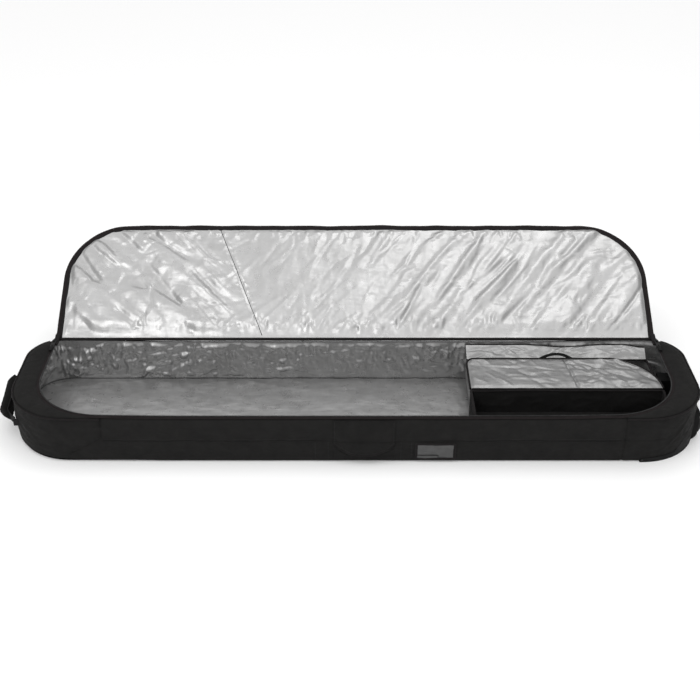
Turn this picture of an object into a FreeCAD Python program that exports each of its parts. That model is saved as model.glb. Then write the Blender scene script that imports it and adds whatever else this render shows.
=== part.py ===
"""A wheeled snowboard bag lying on its floor with the lid folded back.

Frame: +X runs along the bag from the nose to the wheeled tail, +Y from the front wall to the
hinged rear wall, +Z up. The origin is the middle of the underside. Lengths are in millimetres.
"""

import FreeCAD, Part
import math
import os

from FreeCAD import Vector

# ---- driving dimensions ------------------------------------------------------------------
HALF_LENGTH = 840.0  # nose face and tail face
HALF_WIDTH = 180.0  # front face and rear face
FRONT_CORNER = 150.0  # plan radius of the two front corners
REAR_CORNER = 85.0  # and of the two at the hinge side
RIM = 127.0  # height of the rim above the floor

SKIN = 1.5  # woven outer fabric
FOAM = 9.0  # closed cell padding in the walls
LINING = 1.0  # metallised tarpaulin lining
FLOOR_SKIN = 3.0  # outer floor with its stiffener
FLOOR_FOAM = 6.0
DECK = 6.0  # padded top panel at each end

NOSE_SEAM = -604.0  # where the nose panel meets the side panels
TAIL_SEAM = 640.0  # where the tail panel meets the side panels

OPEN_HALF_LENGTH = 785.0  # the zipped opening
OPEN_FRONT = 172.0
OPEN_CORNER = 170.0

HINGE_Y = 181.0
HINGE_R = 3.5  # the bound edge that the lid folds about
LID_OPEN = -149.0  # degrees from closed to the stored pose
LID_START = 8.0  # gap between the fold and the padded panel
LID_FOAM = 7.8
LID_LINING = 1.2

TAPE = 1.0  # zip tape thickness
CHAIN = 2.0  # height of the teeth above the tape
CHAIN_W = 2.5
SLIDER_Y = 161.0
SLIDER_X = 784.0

BASE_START = 683.0  # the moulded tail base
BASE_PROUD = 2.5
LIP_LOW = 11.0
LIP_HIGH = 36.0
LIP_EAR = 92.0  # the lip stands tallest round the two corners
EAR_FROM = 112.0

TAIL_ROUND = 22.0  # the lower tail edge is rounded so that the tilted bag rolls

WHEEL_X = 817.0
WHEEL_Y = 72.0
WHEEL_Z = 38.0
WHEEL_R = 36.0
WHEEL_W = 30.0
HUB_R = 25.0
BEARING_R = 11.0
BEARING_W = 7.0
AXLE_R = 4.0
AXLE_HEAD, AXLE_HEAD_R = 1.5, 6.5
WELL_GAP = 2.5
WELL_WALL = 2.5

BOOT_NOSE = 284.0  # organiser bags at the tail end
BOOT_TAIL = 766.0
BOOT_FRONT = -150.0
BOOT_FOLD = -22.0
POUCH_FRONT = -14.0
POUCH_REAR = 164.0
ORG_FLOOR = 34.0
BOOT_TOP = 104.0
POUCH_TOP = 96.0
PANEL_NOSE, PANEL_TAIL = 290.0, 750.0  # the leaning panel over the back of the pouch
PANEL_Y0, PANEL_Z0, PANEL_Y1, PANEL_Z1 = 122.0, 100.0, 164.5, 119.5
PANEL_THICK = 3.0
ORG_WALL = 4.0
BOOT_LID = 7.0
BOOT_LID_REACH = 132.0
BOOT_LID_OPEN = -177.0

SIDE_NOSE, SIDE_TAIL = -54.0, 94.0  # the hand hold on the front wall
SIDE_PROUD = 11.0
SIDE_COVER = 3.5  # thickness of the cover over the hand hold
SIDE_ARC_LOW, SIDE_ARC_HIGH = 26.0, 56.0
PATCH_NOSE, PATCH_TAIL, PATCH_LOW, PATCH_HIGH = -100.0, 136.0, 4.0, 61.0

CARD_X0, CARD_X1, CARD_Z0, CARD_Z1 = 141.0, 240.0, 7.0, 58.0

HANDLE_THICK = 3.0  # the carry handle on the boot bag's lid
HANDLE_REACH = BOOT_LID_REACH + HANDLE_THICK / 2 + 0.6
HANDLE_HALF = 46.0
HANDLE_RISE = 14.0
HANDLE_X = 517.0

RIVET_R, RIVET_PROUD = 3.0, 1.2
PIPING_R = 2.5
PIPING_STOP = 60.0  # degrees round the rear corner where the piping ends

SPOKE_HOLES = 6
SPOKE_AT, SPOKE_R = 17.5, 2.6
TYRE_FILLET = 7.0
DISH_DEPTH = 8.0

TAB_HALF, TAB_LOW, TAB_HIGH = 12.0, 70.0, 88.0  # tabs that hold the organisers in place
TAB_X = (310.0, 430.0, 550.0, 670.0)

OUT = "parts"


# ---- helpers -----------------------------------------------------------------------------
def box(x0, x1, y0, y1, z0, z1):
    """A box between two corners."""
    return Part.makeBox(x1 - x0, y1 - y0, z1 - z0, Vector(x0, y0, z0))


def prism(face, z0, z1):
    """A flat face in the XY plane raised to a solid from z0 to z1."""
    solid = face.extrude(Vector(0, 0, z1 - z0))
    solid.translate(Vector(0, 0, z0))
    return solid


def rounded(x0, x1, y0, y1, radii):
    """A rectangle whose corners (x0y0, x1y0, x1y1, x0y1) have their own radii; 0 is square."""
    corners = [(x0, y0), (x1, y0), (x1, y1), (x0, y1)]
    inward = [(1, 1), (-1, 1), (-1, -1), (1, -1)]
    edges, first, last = [], None, None
    for i, ((x, y), (ix, iy), r) in enumerate(zip(corners, inward, radii)):
        if i % 2 == 0:
            enter, leave = Vector(x, y + iy * r, 0), Vector(x + ix * r, y, 0)
        else:
            enter, leave = Vector(x + ix * r, y, 0), Vector(x, y + iy * r, 0)
        if last is not None:
            edges.append(Part.LineSegment(last, enter).toShape())
        if r:
            k = r * (1 - math.sqrt(0.5))
            middle = Vector(x + ix * k, y + iy * k, 0)
            edges.append(Part.Arc(enter, middle, leave).toShape())
        first = first or enter
        last = leave
    edges.append(Part.LineSegment(last, first).toShape())
    return Part.Face(Part.Wire(edges))


def plan(inset):
    """The bag's outline in plan, inset from the outer face."""
    return rounded(
        -HALF_LENGTH + inset,
        HALF_LENGTH - inset,
        -HALF_WIDTH + inset,
        HALF_WIDTH - inset,
        [FRONT_CORNER - inset] * 2 + [REAR_CORNER - inset] * 2,
    )


def opening(inset, rear=HALF_WIDTH + 20.0):
    """The zipped opening in plan, inset from the zip's centre line."""
    a, r = OPEN_HALF_LENGTH - inset, OPEN_CORNER - inset
    return rounded(-a, a, -OPEN_FRONT + inset, rear, [r, r, 0, 0])


def opening_band(inner, outer, z0, z1, rear):
    """A band that follows the zip on three sides, between two insets, up to Y = rear."""
    return prism(opening(outer, rear).cut(opening(inner, rear + 1)), z0, z1)


def cyl_y(x, y0, y1, z, r):
    """A cylinder along Y."""
    return Part.makeCylinder(r, y1 - y0, Vector(x, y0, z), Vector(0, 1, 0))


def turned(shape, angle, y, z):
    """A copy of shape turned about the X direction through (y, z)."""
    copy = shape.copy()
    copy.rotate(Vector(0, y, z), Vector(1, 0, 0), angle)
    return copy


def tube_along(edges, start, direction, r):
    """A round cord swept along joined edges."""
    wire = Part.Wire(edges)
    ring = Part.Wire(Part.Circle(start, direction, r).toShape())
    return wire.makePipeShell([ring], True, False)


def save(name, shape):
    """Writes one node and prints what it holds."""
    shape = shape.removeSplitter() if len(shape.Solids) == 1 else shape
    if not shape.isValid() or not shape.Solids:
        raise ValueError(f"{name} isn't a valid solid")
    shape.exportStep(os.path.join(OUT, name + ".step"))
    print(f"{name:26s} {len(shape.Solids)} solid(s) {shape.Volume / 1000:9.1f} cm3")


def group(shapes):
    """Separate solids that share one node."""
    return Part.makeCompound([solid for shape in shapes for solid in shape.Solids])


# ---- the padded body ---------------------------------------------------------------------
def split_by_seams(ring):
    """Cuts a wall ring at the nose and tail seams into nose, tail, front and rear parts."""
    far, tall = HALF_LENGTH + 50, RIM + 50
    wide = HALF_WIDTH + 50
    nose = ring.common(box(-far, NOSE_SEAM, -wide, wide, -10, tall))
    tail = ring.common(box(TAIL_SEAM, far, -wide, wide, -10, tall))
    front = ring.common(box(NOSE_SEAM, TAIL_SEAM, -wide, 0, -10, tall))
    rear = ring.common(box(NOSE_SEAM, TAIL_SEAM, 0, wide, -10, tall))
    return {"nose": nose, "tail": tail, "front": front, "rear": rear}


def wall_ring(inset, thick, z0, z1):
    """One upright layer all round the bag."""
    return prism(plan(inset).cut(plan(inset + thick)), z0, z1)


def hinge_rod():
    """The bound edge along the top of the rear wall."""
    a = OPEN_HALF_LENGTH - 15
    start = Vector(-a, HINGE_Y, RIM)
    return Part.makeCylinder(HINGE_R, 2 * a, start, Vector(1, 0, 0))


def well_envelope(side):
    """The box that one wheel housing fills. side is -1 for the front wheel, 1 for the rear."""
    reach = WHEEL_R + WELL_GAP + WELL_WALL
    half = WHEEL_W / 2 + 2 + WELL_WALL
    y = side * WHEEL_Y
    return box(WHEEL_X - reach, 900, y - half, y + half, -1, WHEEL_Z + reach)


def axle_room(side):
    """The room that the heads of one wheel's axle take up beside its housing."""
    reach = WHEEL_W / 2 + 2 + WELL_WALL + AXLE_HEAD + 1
    y = side * WHEEL_Y
    return cyl_y(WHEEL_X, y - reach, y + reach, WHEEL_Z, AXLE_HEAD_R + 1)


def tail_edge():
    """What is cut away along the lower tail edge to leave it round."""
    end = HALF_LENGTH + BASE_PROUD
    block = box(end - TAIL_ROUND, end + 10, -300, 300, -10, TAIL_ROUND)
    return block.cut(cyl_y(end - TAIL_ROUND, -310, 310, TAIL_ROUND, TAIL_ROUND))


def make_walls():
    """Fabric, padding and lining of the upright walls."""
    rod = hinge_rod()
    wells = [well_envelope(-1), well_envelope(1)]
    skins = split_by_seams(wall_ring(0, SKIN, 0, RIM))
    for name, shape in skins.items():
        save(f"{name}_panel", shape.cut(rod).cut([*wells, tail_edge()]))
    room = [*wells, axle_room(-1), axle_room(1)]
    foams = split_by_seams(wall_ring(SKIN, FOAM, FLOOR_SKIN, RIM - DECK))
    for name, shape in foams.items():
        save(f"{name}_wall_foam", shape.cut(rod).cut([*room, tail_edge()]))
    floor_top = FLOOR_SKIN + FLOOR_FOAM + LINING
    linings = split_by_seams(wall_ring(SKIN + FOAM, LINING, floor_top, RIM - DECK))
    save("wall_lining", group([s.cut(rod).cut(room) for s in linings.values()]))


def make_floor():
    """Fabric, padding and lining of the floor. The moulded base takes over at the tail."""
    wells = [well_envelope(-1), well_envelope(1)]
    inside = plan(SKIN)
    whole = prism(inside, 0, FLOOR_SKIN)
    tail_cut = box(BASE_START, HALF_LENGTH + 50, -300, 300, -5, 50)
    save("floor_panel", whole.cut(tail_cut))
    foam = prism(inside, FLOOR_SKIN, FLOOR_SKIN + FLOOR_FOAM)
    foam = foam.cut(wall_ring(SKIN, FOAM, 0, RIM))
    save("floor_foam", foam.cut(wells))
    top = FLOOR_SKIN + FLOOR_FOAM
    lining = prism(plan(SKIN + FOAM), top, top + LINING)
    save("floor_lining", lining.cut(wells))


def make_decks():
    """The fixed ends of the top panel, and the narrow edge strip along the front and rear."""
    ring = prism(plan(SKIN).cut(opening(0)), RIM - DECK, RIM)
    ring = ring.cut(hinge_rod())
    nose = ring.common(box(-900, NOSE_SEAM, -300, 300, 0, 200))
    tail = ring.common(box(TAIL_SEAM, 900, -300, 300, 0, 200))
    front = ring.common(box(NOSE_SEAM, TAIL_SEAM, -300, 0, 0, 200))
    save("nose_deck", nose)
    save("tail_deck", tail)
    rear_wall = wall_ring(SKIN, FOAM + LINING, RIM - DECK, RIM)
    rear = rear_wall.common(box(-OPEN_HALF_LENGTH, OPEN_HALF_LENGTH, 100, 300, 0, 200))
    save("edge_strips", group([front, rear.cut(hinge_rod())]))


def corner_arc(side, along, r):
    """Centre and points of one plan corner. along is -1 for a front corner, 1 for a rear one."""
    corner = FRONT_CORNER if along < 0 else REAR_CORNER
    centre = Vector(side * (HALF_LENGTH - corner), along * (HALF_WIDTH - corner), 0)

    def at(degrees):
        a = math.radians(degrees)
        reach = corner + r
        return centre + Vector(side * reach * math.cos(a), along * reach * math.sin(a), 0)

    return at


def make_piping():
    """The piped seam round each end, between the deck and the wall."""
    r = PIPING_R
    cords = []
    for side, seam in ((-1, NOSE_SEAM), (1, TAIL_SEAM)):
        front, rear = corner_arc(side, -1, r), corner_arc(side, 1, r)
        start = Vector(seam, front(90).y, 0)
        edges = [
            Part.LineSegment(start, front(90)).toShape(),
            Part.Arc(front(90), front(45), front(0)).toShape(),
            Part.LineSegment(front(0), rear(0)).toShape(),
            Part.Arc(rear(0), rear(PIPING_STOP / 2), rear(PIPING_STOP)).toShape(),
        ]
        cord = tube_along(edges, start, Vector(1, 0, 0), r)
        cord.translate(Vector(0, 0, RIM - r))
        cords.append(cord)
    save("deck_piping", group(cords))


# ---- zip ---------------------------------------------------------------------------------
def make_zip():
    """Tape, teeth and the two sliders parked at the hinge ends of the zip."""
    save("rim_zip_tape", opening_band(6, -6, RIM, RIM + TAPE, HINGE_Y - 9))
    low, high = RIM + TAPE, RIM + TAPE + CHAIN
    teeth = opening_band(6, 6 - CHAIN_W, low, high, SLIDER_Y - 9)
    save("rim_zip_teeth", teeth)
    sliders = []
    for name, side in (("nose", -1), ("tail", 1)):
        x = side * SLIDER_X
        plates = [
            box(x - 5, x + 5, SLIDER_Y - 8, SLIDER_Y + 8, low, low + 1.2),
            box(x - 1.5, x + 1.5, SLIDER_Y - 4, SLIDER_Y + 6, low + 1.2, low + 3.4),
            box(x - 5, x + 5, SLIDER_Y - 8, SLIDER_Y + 8, low + 3.4, low + 4.6),
        ]
        body = plates[0].fuse(plates[1]).fuse(plates[2])
        bail = box(x - 1.5, x + 1.5, SLIDER_Y - 5, SLIDER_Y + 5, low + 4.6, low + 9)
        hole = Part.makeCylinder(
            2.2, 8, Vector(x - 4, SLIDER_Y, low + 6.2), Vector(1, 0, 0)
        )
        sliders.append(body.fuse(bail.cut(hole)))
        make_pull(name, x, low + 6.2)
    save("zip_sliders", group(sliders))


def make_pull(name, x, z):
    """A metal tab through the slider's bail, with a moulded grip over its end."""
    pin = Part.makeCylinder(1.5, 8, Vector(x - 4, SLIDER_Y, z), Vector(1, 0, 0))
    arms = [box(x + s * 4 - 1, x + s * 4 + 1, SLIDER_Y - 14, SLIDER_Y + 1, z - 1, z + 1)
            for s in (-1, 1)]
    tab = box(x - 5, x + 5, SLIDER_Y - 32, SLIDER_Y - 13, z - 1, z + 1)
    hole = Part.makeCylinder(2.5, 10, Vector(x, SLIDER_Y - 26, z - 5))
    tab = tab.cut(hole).fuse(pin).fuse(arms[0]).fuse(arms[1])
    save(f"{name}_pull_tab", tab)
    grip = box(x - 4, x + 4, SLIDER_Y - 50, SLIDER_Y - 32, z - 2.2, z + 2.2)
    long_edges = [e for e in grip.Edges if abs(e.tangentAt(e.FirstParameter).y) > 0.9]
    save(f"{name}_pull_grip", grip.makeFillet(1.6, long_edges))


# ---- lid ---------------------------------------------------------------------------------
def make_lid():
    """Built closed, then turned back about the hinge to the stored pose."""
    rear = HINGE_Y - LID_START
    z = RIM + TAPE
    layers = {
        "lid_lining": (10, z, z + LID_LINING),
        "lid_foam": (10, z + LID_LINING, z + LID_LINING + LID_FOAM),
        "lid_panel": (10, z + LID_LINING + LID_FOAM, z + LID_LINING + LID_FOAM + SKIN),
    }
    for name, (inset, low, high) in layers.items():
        closed = prism(opening(inset, rear), low, high)
        save(name, turned(closed, LID_OPEN, HINGE_Y, RIM))
    tape_rear = HINGE_Y - 38
    tape = opening_band(18, 7, RIM, RIM + TAPE, tape_rear)
    save("lid_zip_tape", turned(tape, LID_OPEN, HINGE_Y, RIM))
    teeth = opening_band(7 + CHAIN_W, 7, RIM + TAPE, RIM + TAPE + CHAIN, tape_rear)
    save("lid_zip_teeth", turned(teeth, LID_OPEN, HINGE_Y, RIM))
    fold = box(
        -OPEN_HALF_LENGTH + 18,
        OPEN_HALF_LENGTH - 18,
        rear - 12,
        HINGE_Y - HINGE_R - 0.5,
        RIM,
        RIM + TAPE,
    )
    save("lid_fold_tape", turned(fold, LID_OPEN, HINGE_Y, RIM))
    save("hinge_binding", hinge_rod())
    make_lid_piping(z + LID_LINING + LID_FOAM + SKIN)


def make_lid_piping(top):
    """A cord on the lid's outer face, just inside its edge on three sides."""
    r, inset = 2.2, 14.0
    a, b, c = OPEN_HALF_LENGTH - inset, OPEN_FRONT - inset, OPEN_CORNER - inset
    k = c * (1 - math.sqrt(0.5))
    start = Vector(-a, HINGE_Y - 30, 0)
    edges = [
        Part.LineSegment(start, Vector(-a, c - b, 0)).toShape(),
        Part.Arc(
            Vector(-a, c - b, 0), Vector(k - a, k - b, 0), Vector(c - a, -b, 0)
        ).toShape(),
        Part.LineSegment(Vector(c - a, -b, 0), Vector(a - c, -b, 0)).toShape(),
        Part.Arc(
            Vector(a - c, -b, 0), Vector(a - k, k - b, 0), Vector(a, c - b, 0)
        ).toShape(),
        Part.LineSegment(Vector(a, c - b, 0), Vector(a, HINGE_Y - 30, 0)).toShape(),
    ]
    cord = tube_along(edges, start, Vector(0, 1, 0), r)
    cord.translate(Vector(0, 0, top + r))
    save("lid_piping", turned(cord, LID_OPEN, HINGE_Y, RIM))


# ---- tail base and wheels ----------------------------------------------------------------
def make_base():
    """A moulded plate with a lip that cups the tail, and a housing over each wheel."""
    wells = [well_envelope(-1), well_envelope(1)]
    plate = prism(plan(SKIN), 0, FLOOR_SKIN)
    plate = plate.common(box(BASE_START, 900, -300, 300, -5, 50))
    save("tail_base_plate", plate.cut([*wells, tail_edge()]))
    lip = prism(plan(-BASE_PROUD).cut(plan(0)), 0, LIP_EAR)
    profile = [(BASE_START, 0), (BASE_START + 8, LIP_LOW), (770, LIP_LOW + 3), (804, 52)]
    profile += [(826, LIP_EAR - 14), (838, LIP_EAR), (900, LIP_EAR), (900, 0)]
    points = [Vector(x, -300, z) for x, z in profile + profile[:1]]
    lip = lip.common(Part.Face(Part.makePolygon(points)).extrude(Vector(0, 600, 0)))
    lip = lip.cut(box(600, 900, -EAR_FROM, EAR_FROM, LIP_HIGH, 200))
    save("tail_base_lip", lip.cut([*wells, tail_edge()]))
    rivets = []
    for x, y in ((688, 1), (740, 1), (688, -1)):
        face = y * (HALF_WIDTH + BASE_PROUD)
        rivets.append(
            Part.makeCylinder(RIVET_R, RIVET_PROUD, Vector(x, face, 6), Vector(0, y, 0))
        )
    for y in (-42, -14, 14, 42):
        start = Vector(HALF_LENGTH + BASE_PROUD, y, 28)
        rivets.append(Part.makeCylinder(RIVET_R, RIVET_PROUD, start, Vector(1, 0, 0)))
    save("base_rivets", group(rivets))


def make_wheel(name, side):
    """Saves one wheel's tyre, hub and bearings, and gives back its housing and axle."""
    y = side * WHEEL_Y
    half = WHEEL_W / 2
    cavity_r = WHEEL_R + WELL_GAP
    housing = well_envelope(side)
    housing = housing.common(box(0, HALF_LENGTH + BASE_PROUD, -300, 300, 0, 300))
    housing = housing.cut(tail_edge())
    cavity = cyl_y(WHEEL_X, y - half - 2, y + half + 2, WHEEL_Z, cavity_r)
    drop = box(WHEEL_X - cavity_r, 900, y - half - 2, y + half + 2, -5, WHEEL_Z)
    reach = half + 2 + WELL_WALL
    bore = cyl_y(WHEEL_X, y - reach - 1, y + reach + 1, WHEEL_Z, AXLE_R)
    housing = housing.cut(cavity.fuse(drop)).cut(bore)

    shaft = cyl_y(WHEEL_X, y - reach, y + reach, WHEEL_Z, AXLE_R)
    heads = [
        cyl_y(WHEEL_X, y - reach - AXLE_HEAD, y - reach, WHEEL_Z, AXLE_HEAD_R),
        cyl_y(WHEEL_X, y + reach, y + reach + AXLE_HEAD, WHEEL_Z, AXLE_HEAD_R),
    ]
    axle = shaft.fuse(heads[0]).fuse(heads[1])

    tyre = cyl_y(WHEEL_X, y - half, y + half, WHEEL_Z, WHEEL_R)
    rims = [e for e in tyre.Edges if isinstance(e.Curve, Part.Circle)]
    tyre = tyre.makeFillet(TYRE_FILLET, rims)
    save(f"{name}_tyre", tyre.cut(cyl_y(WHEEL_X, y - 30, y + 30, WHEEL_Z, HUB_R)))

    hub = cyl_y(WHEEL_X, y - half + 1, y + half - 1, WHEEL_Z, HUB_R)
    for s in (-1, 1):
        outer = y + s * (half - 1)
        low, high = sorted((outer, outer - s * DISH_DEPTH))
        dish = cyl_y(WHEEL_X, low, high, WHEEL_Z, HUB_R - 4)
        boss = cyl_y(WHEEL_X, low, high, WHEEL_Z, BEARING_R + 3)
        hub = hub.cut(dish.cut(boss))
        low, high = sorted((outer, outer - s * BEARING_W))
        hub = hub.cut(cyl_y(WHEEL_X, low, high, WHEEL_Z, BEARING_R))
    hub = hub.cut(cyl_y(WHEEL_X, y - 30, y + 30, WHEEL_Z, AXLE_R + 1))
    for i in range(SPOKE_HOLES):
        a = math.tau * i / SPOKE_HOLES
        x, z = WHEEL_X + SPOKE_AT * math.cos(a), WHEEL_Z + SPOKE_AT * math.sin(a)
        hub = hub.cut(cyl_y(x, y - 30, y + 30, z, SPOKE_R))
    save(f"{name}_hub", hub)

    rings = []
    for s in (-1, 1):
        outer = y + s * (half - 1)
        low, high = sorted((outer, outer - s * BEARING_W))
        ring = cyl_y(WHEEL_X, low, high, WHEEL_Z, BEARING_R)
        rings.append(ring.cut(cyl_y(WHEEL_X, low, high, WHEEL_Z, AXLE_R + 0.05)))
    save(f"{name}_bearings", group(rings))
    return housing, axle


def make_wheels():
    """Both wheels, with their housings in one node and their axles in another."""
    built = [make_wheel("front", -1), make_wheel("rear", 1)]
    save("wheel_housings", group([housing for housing, axle in built]))
    save("wheel_axles", group([axle for housing, axle in built]))


# ---- handles and the card window ---------------------------------------------------------
def bowed_strap(half_span, bulge, thick, side, x_fold, z0, z1):
    """A strap across an end face that bows outward, as a plan band raised from z0 to z1."""

    def outline(offset):
        tip = side * (x_fold + bulge + offset)
        foot = side * x_fold
        shoulder = half_span * 0.62
        return [
            Vector(foot, -half_span - offset, 0),
            Vector(tip, -shoulder, 0),
            Vector(tip, shoulder, 0),
            Vector(foot, half_span + offset, 0),
        ]

    inner, outer = outline(0), outline(thick)
    points = outer + list(reversed(inner)) + [outer[0]]
    band = Part.Face(Part.makePolygon(points))
    return prism(band, z0, z1)


def make_end_handle(name, side, half_span, bulge, width, middle, turn):
    """A loop with a padded grip that lifts, between two anchors that stay on the wall.

    middle is the middle of the line between the anchors, and turn slants that line in plan."""
    fold = abs(middle.x)
    half = width / 2
    z = middle.z

    def settle(shape):
        shape.translate(Vector(0, middle.y, 0))
        shape.rotate(middle, Vector(0, 0, 1), turn)
        return shape

    strap = bowed_strap(half_span, bulge, 2.5, side, fold, z - 5, z + 5)
    save(f"{name}_handle_strap", settle(strap))
    tip = fold + bulge
    low, high = sorted((side * (tip + 2.5), side * (tip + 8.5)))
    reach = half_span * 0.62 - 4
    grip = box(low, high, -reach, reach, z - half, z + half)
    edges = [e for e in grip.Edges if abs(e.tangentAt(e.FirstParameter).y) > 0.9]
    save(f"{name}_handle_grip", settle(grip.makeFillet(2.6, edges)))
    anchors = []
    for s in (-1, 1):
        y0, y1 = sorted((s * (half_span + 3.5), s * (half_span + 12)))
        low, high = sorted((side * (fold - 40), side * (fold + 4)))
        block = settle(box(low, high, y0, y1, z - 9, z + 9))
        anchors.append(block.cut(prism(plan(0), 0, RIM)))
    return anchors


def make_side_handle():
    """A hand hold sewn to the front wall on three sides and open along its curved lower edge."""
    face = -HALF_WIDTH
    middle = (SIDE_NOSE + SIDE_TAIL) / 2
    arc = Part.Arc(
        Vector(SIDE_NOSE, face, SIDE_ARC_HIGH),
        Vector(middle, face, SIDE_ARC_LOW),
        Vector(SIDE_TAIL, face, SIDE_ARC_HIGH),
    ).toShape()
    top = RIM - 6
    up = Part.makePolygon(
        [
            Vector(SIDE_TAIL, face, SIDE_ARC_HIGH),
            Vector(SIDE_TAIL, face, top),
            Vector(SIDE_NOSE, face, top),
            Vector(SIDE_NOSE, face, SIDE_ARC_HIGH),
        ]
    )
    outline = Part.Face(Part.Wire([arc, *up.Edges]))
    flap = outline.extrude(Vector(0, -SIDE_PROUD, 0))
    cover = face - SIDE_PROUD + SIDE_COVER
    hollow = box(SIDE_NOSE + 8, SIDE_TAIL - 8, cover, face + 1, 0, top - 24)
    save("side_handle", flap.cut(hollow))
    patch = box(PATCH_NOSE, PATCH_TAIL, face - 1, face, PATCH_LOW, PATCH_HIGH)
    save("side_patch", patch.cut(flap))


def make_card_window():
    """A clear pocket for a name card, low on the front wall."""
    face = -HALF_WIDTH
    window = box(CARD_X0 + 5, CARD_X1 - 7, face - 3, face, CARD_Z0 + 6, CARD_Z1 - 5)
    frame = box(CARD_X0, CARD_X1, face - 2, face, CARD_Z0, CARD_Z1)
    save("card_frame", frame.cut(window))
    film = box(CARD_X0 + 5, CARD_X1 - 7, face - 1, face, CARD_Z0 + 6, CARD_Z1 - 5)
    save("card_film", film)


# ---- organiser bags ----------------------------------------------------------------------
def boot_plan(inset):
    """The boot bag in plan: its front tail corner follows the zipped opening."""
    return rounded(
        BOOT_NOSE + inset,
        BOOT_TAIL - inset,
        BOOT_FRONT + inset,
        BOOT_FOLD - inset,
        [24, 118 - inset, 4, 4],
    )


def pouch_plan(inset):
    """The clothing pouch in plan, between the boot bag and the rear wall."""
    return rounded(
        BOOT_NOSE + 6 + inset,
        BOOT_TAIL - 5 - inset,
        POUCH_FRONT + inset,
        POUCH_REAR - inset,
        [10, 10, 60 - inset, 24 - inset],
    )


def tray(face, inner, top):
    """An open bag with a floor."""
    return prism(face, ORG_FLOOR, top).cut(prism(inner, ORG_FLOOR + ORG_WALL, top + 50))


def leaning_panel():
    """The panel over the back of the clothing pouch, leaning up to the rear wall."""
    foot, head = Vector(PANEL_NOSE, PANEL_Y0, PANEL_Z0), Vector(PANEL_NOSE, PANEL_Y1, PANEL_Z1)
    slope = head - foot
    down = Vector(0, slope.z, -slope.y).normalize() * PANEL_THICK
    end = Part.Face(Part.makePolygon([foot, head, head + down, foot + down, foot]))
    return end.extrude(Vector(PANEL_TAIL - PANEL_NOSE, 0, 0))


def make_organisers():
    """Two organiser bags at the tail end. The front one has a lid, shown folded open."""
    save("boot_bag", tray(boot_plan(0), boot_plan(ORG_WALL), BOOT_TOP))
    pouch = tray(pouch_plan(0), pouch_plan(ORG_WALL), POUCH_TOP)
    save("clothing_pouch", pouch)
    save("pouch_back_panel", leaning_panel())
    pivot_z = BOOT_TOP + 1.5
    near, far = BOOT_FOLD - 4, BOOT_FOLD - BOOT_LID_REACH
    corner = BOOT_LID_REACH - 4.5  # a tight enough curve to pass the zip as the lid swings
    lid = rounded(BOOT_NOSE + 1, BOOT_TAIL - 1, far, near, [24, corner, 0, 0])
    lid = prism(lid, pivot_z + 0.5, pivot_z + 0.5 + BOOT_LID)
    save("boot_lid", turned(lid, BOOT_LID_OPEN, BOOT_FOLD, pivot_z))
    rod = Part.makeCylinder(
        1.3,
        BOOT_TAIL - BOOT_NOSE - 40,
        Vector(BOOT_NOSE + 20, BOOT_FOLD, pivot_z),
        Vector(1, 0, 0),
    )
    save("boot_lid_binding", rod)
    make_boot_handle(pivot_z)
    tabs = []
    wall = HALF_WIDTH - SKIN - FOAM - LINING
    for x in TAB_X:
        spans = [(POUCH_REAR, wall)]
        spans.append((-wall, BOOT_FRONT) if x < TAIL_SEAM else (BOOT_FOLD, POUCH_FRONT))
        for y0, y1 in spans:
            tabs.append(box(x - TAB_HALF, x + TAB_HALF, y0, y1, TAB_LOW, TAB_HIGH))
    save("organiser_tabs", group(tabs))


def make_boot_handle(pivot_z):
    """An arched carry handle that always stands up from the lid's free edge."""
    turn = math.radians(180 + BOOT_LID_OPEN)
    y = BOOT_FOLD + HANDLE_REACH * math.cos(turn)
    z = pivot_z + HANDLE_REACH * math.sin(turn)
    x = HANDLE_X

    def arch(half, rise, low):
        arc = Part.Arc(
            Vector(x - half, y, z + low), Vector(x, y, z + rise), Vector(x + half, y, z + low)
        ).toShape()
        chord = Part.LineSegment(
            Vector(x + half, y, z + low), Vector(x - half, y, z + low)
        ).toShape()
        return Part.Face(Part.Wire([arc, chord]))

    outer = arch(HANDLE_HALF, HANDLE_RISE, -5.0).extrude(Vector(0, HANDLE_THICK, 0))
    inner = arch(HANDLE_HALF - 16, HANDLE_RISE - 6, -1.0).extrude(Vector(0, 5, 0))
    inner.translate(Vector(0, -1, 0))
    handle = outer.cut(inner)
    handle.translate(Vector(0, -HANDLE_THICK / 2, 0))
    save("boot_lid_handle", handle)


def main():
    """Builds and saves every node."""
    os.makedirs(OUT, exist_ok=True)
    make_walls()
    make_floor()
    make_decks()
    make_piping()
    make_zip()
    make_lid()
    make_base()
    make_wheels()
    anchors = make_end_handle("nose", -1, 104.0, 24.0, 32.0, Vector(-837.5, -4, 70), 6.1)
    anchors += make_end_handle("tail", 1, 62.0, 5.0, 26.0, Vector(849, 36, 88), 0.0)
    save("handle_anchors", group(anchors))
    make_side_handle()
    make_card_window()
    make_organisers()
    print(len(os.listdir(OUT)), "nodes")


main()
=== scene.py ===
"""Looks for a wheeled snowboard bag that lies open on the floor."""

import math

import bpy
import numpy as np
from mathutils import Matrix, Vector
from mathutils.geometry import delaunay_2d_cdt


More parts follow.
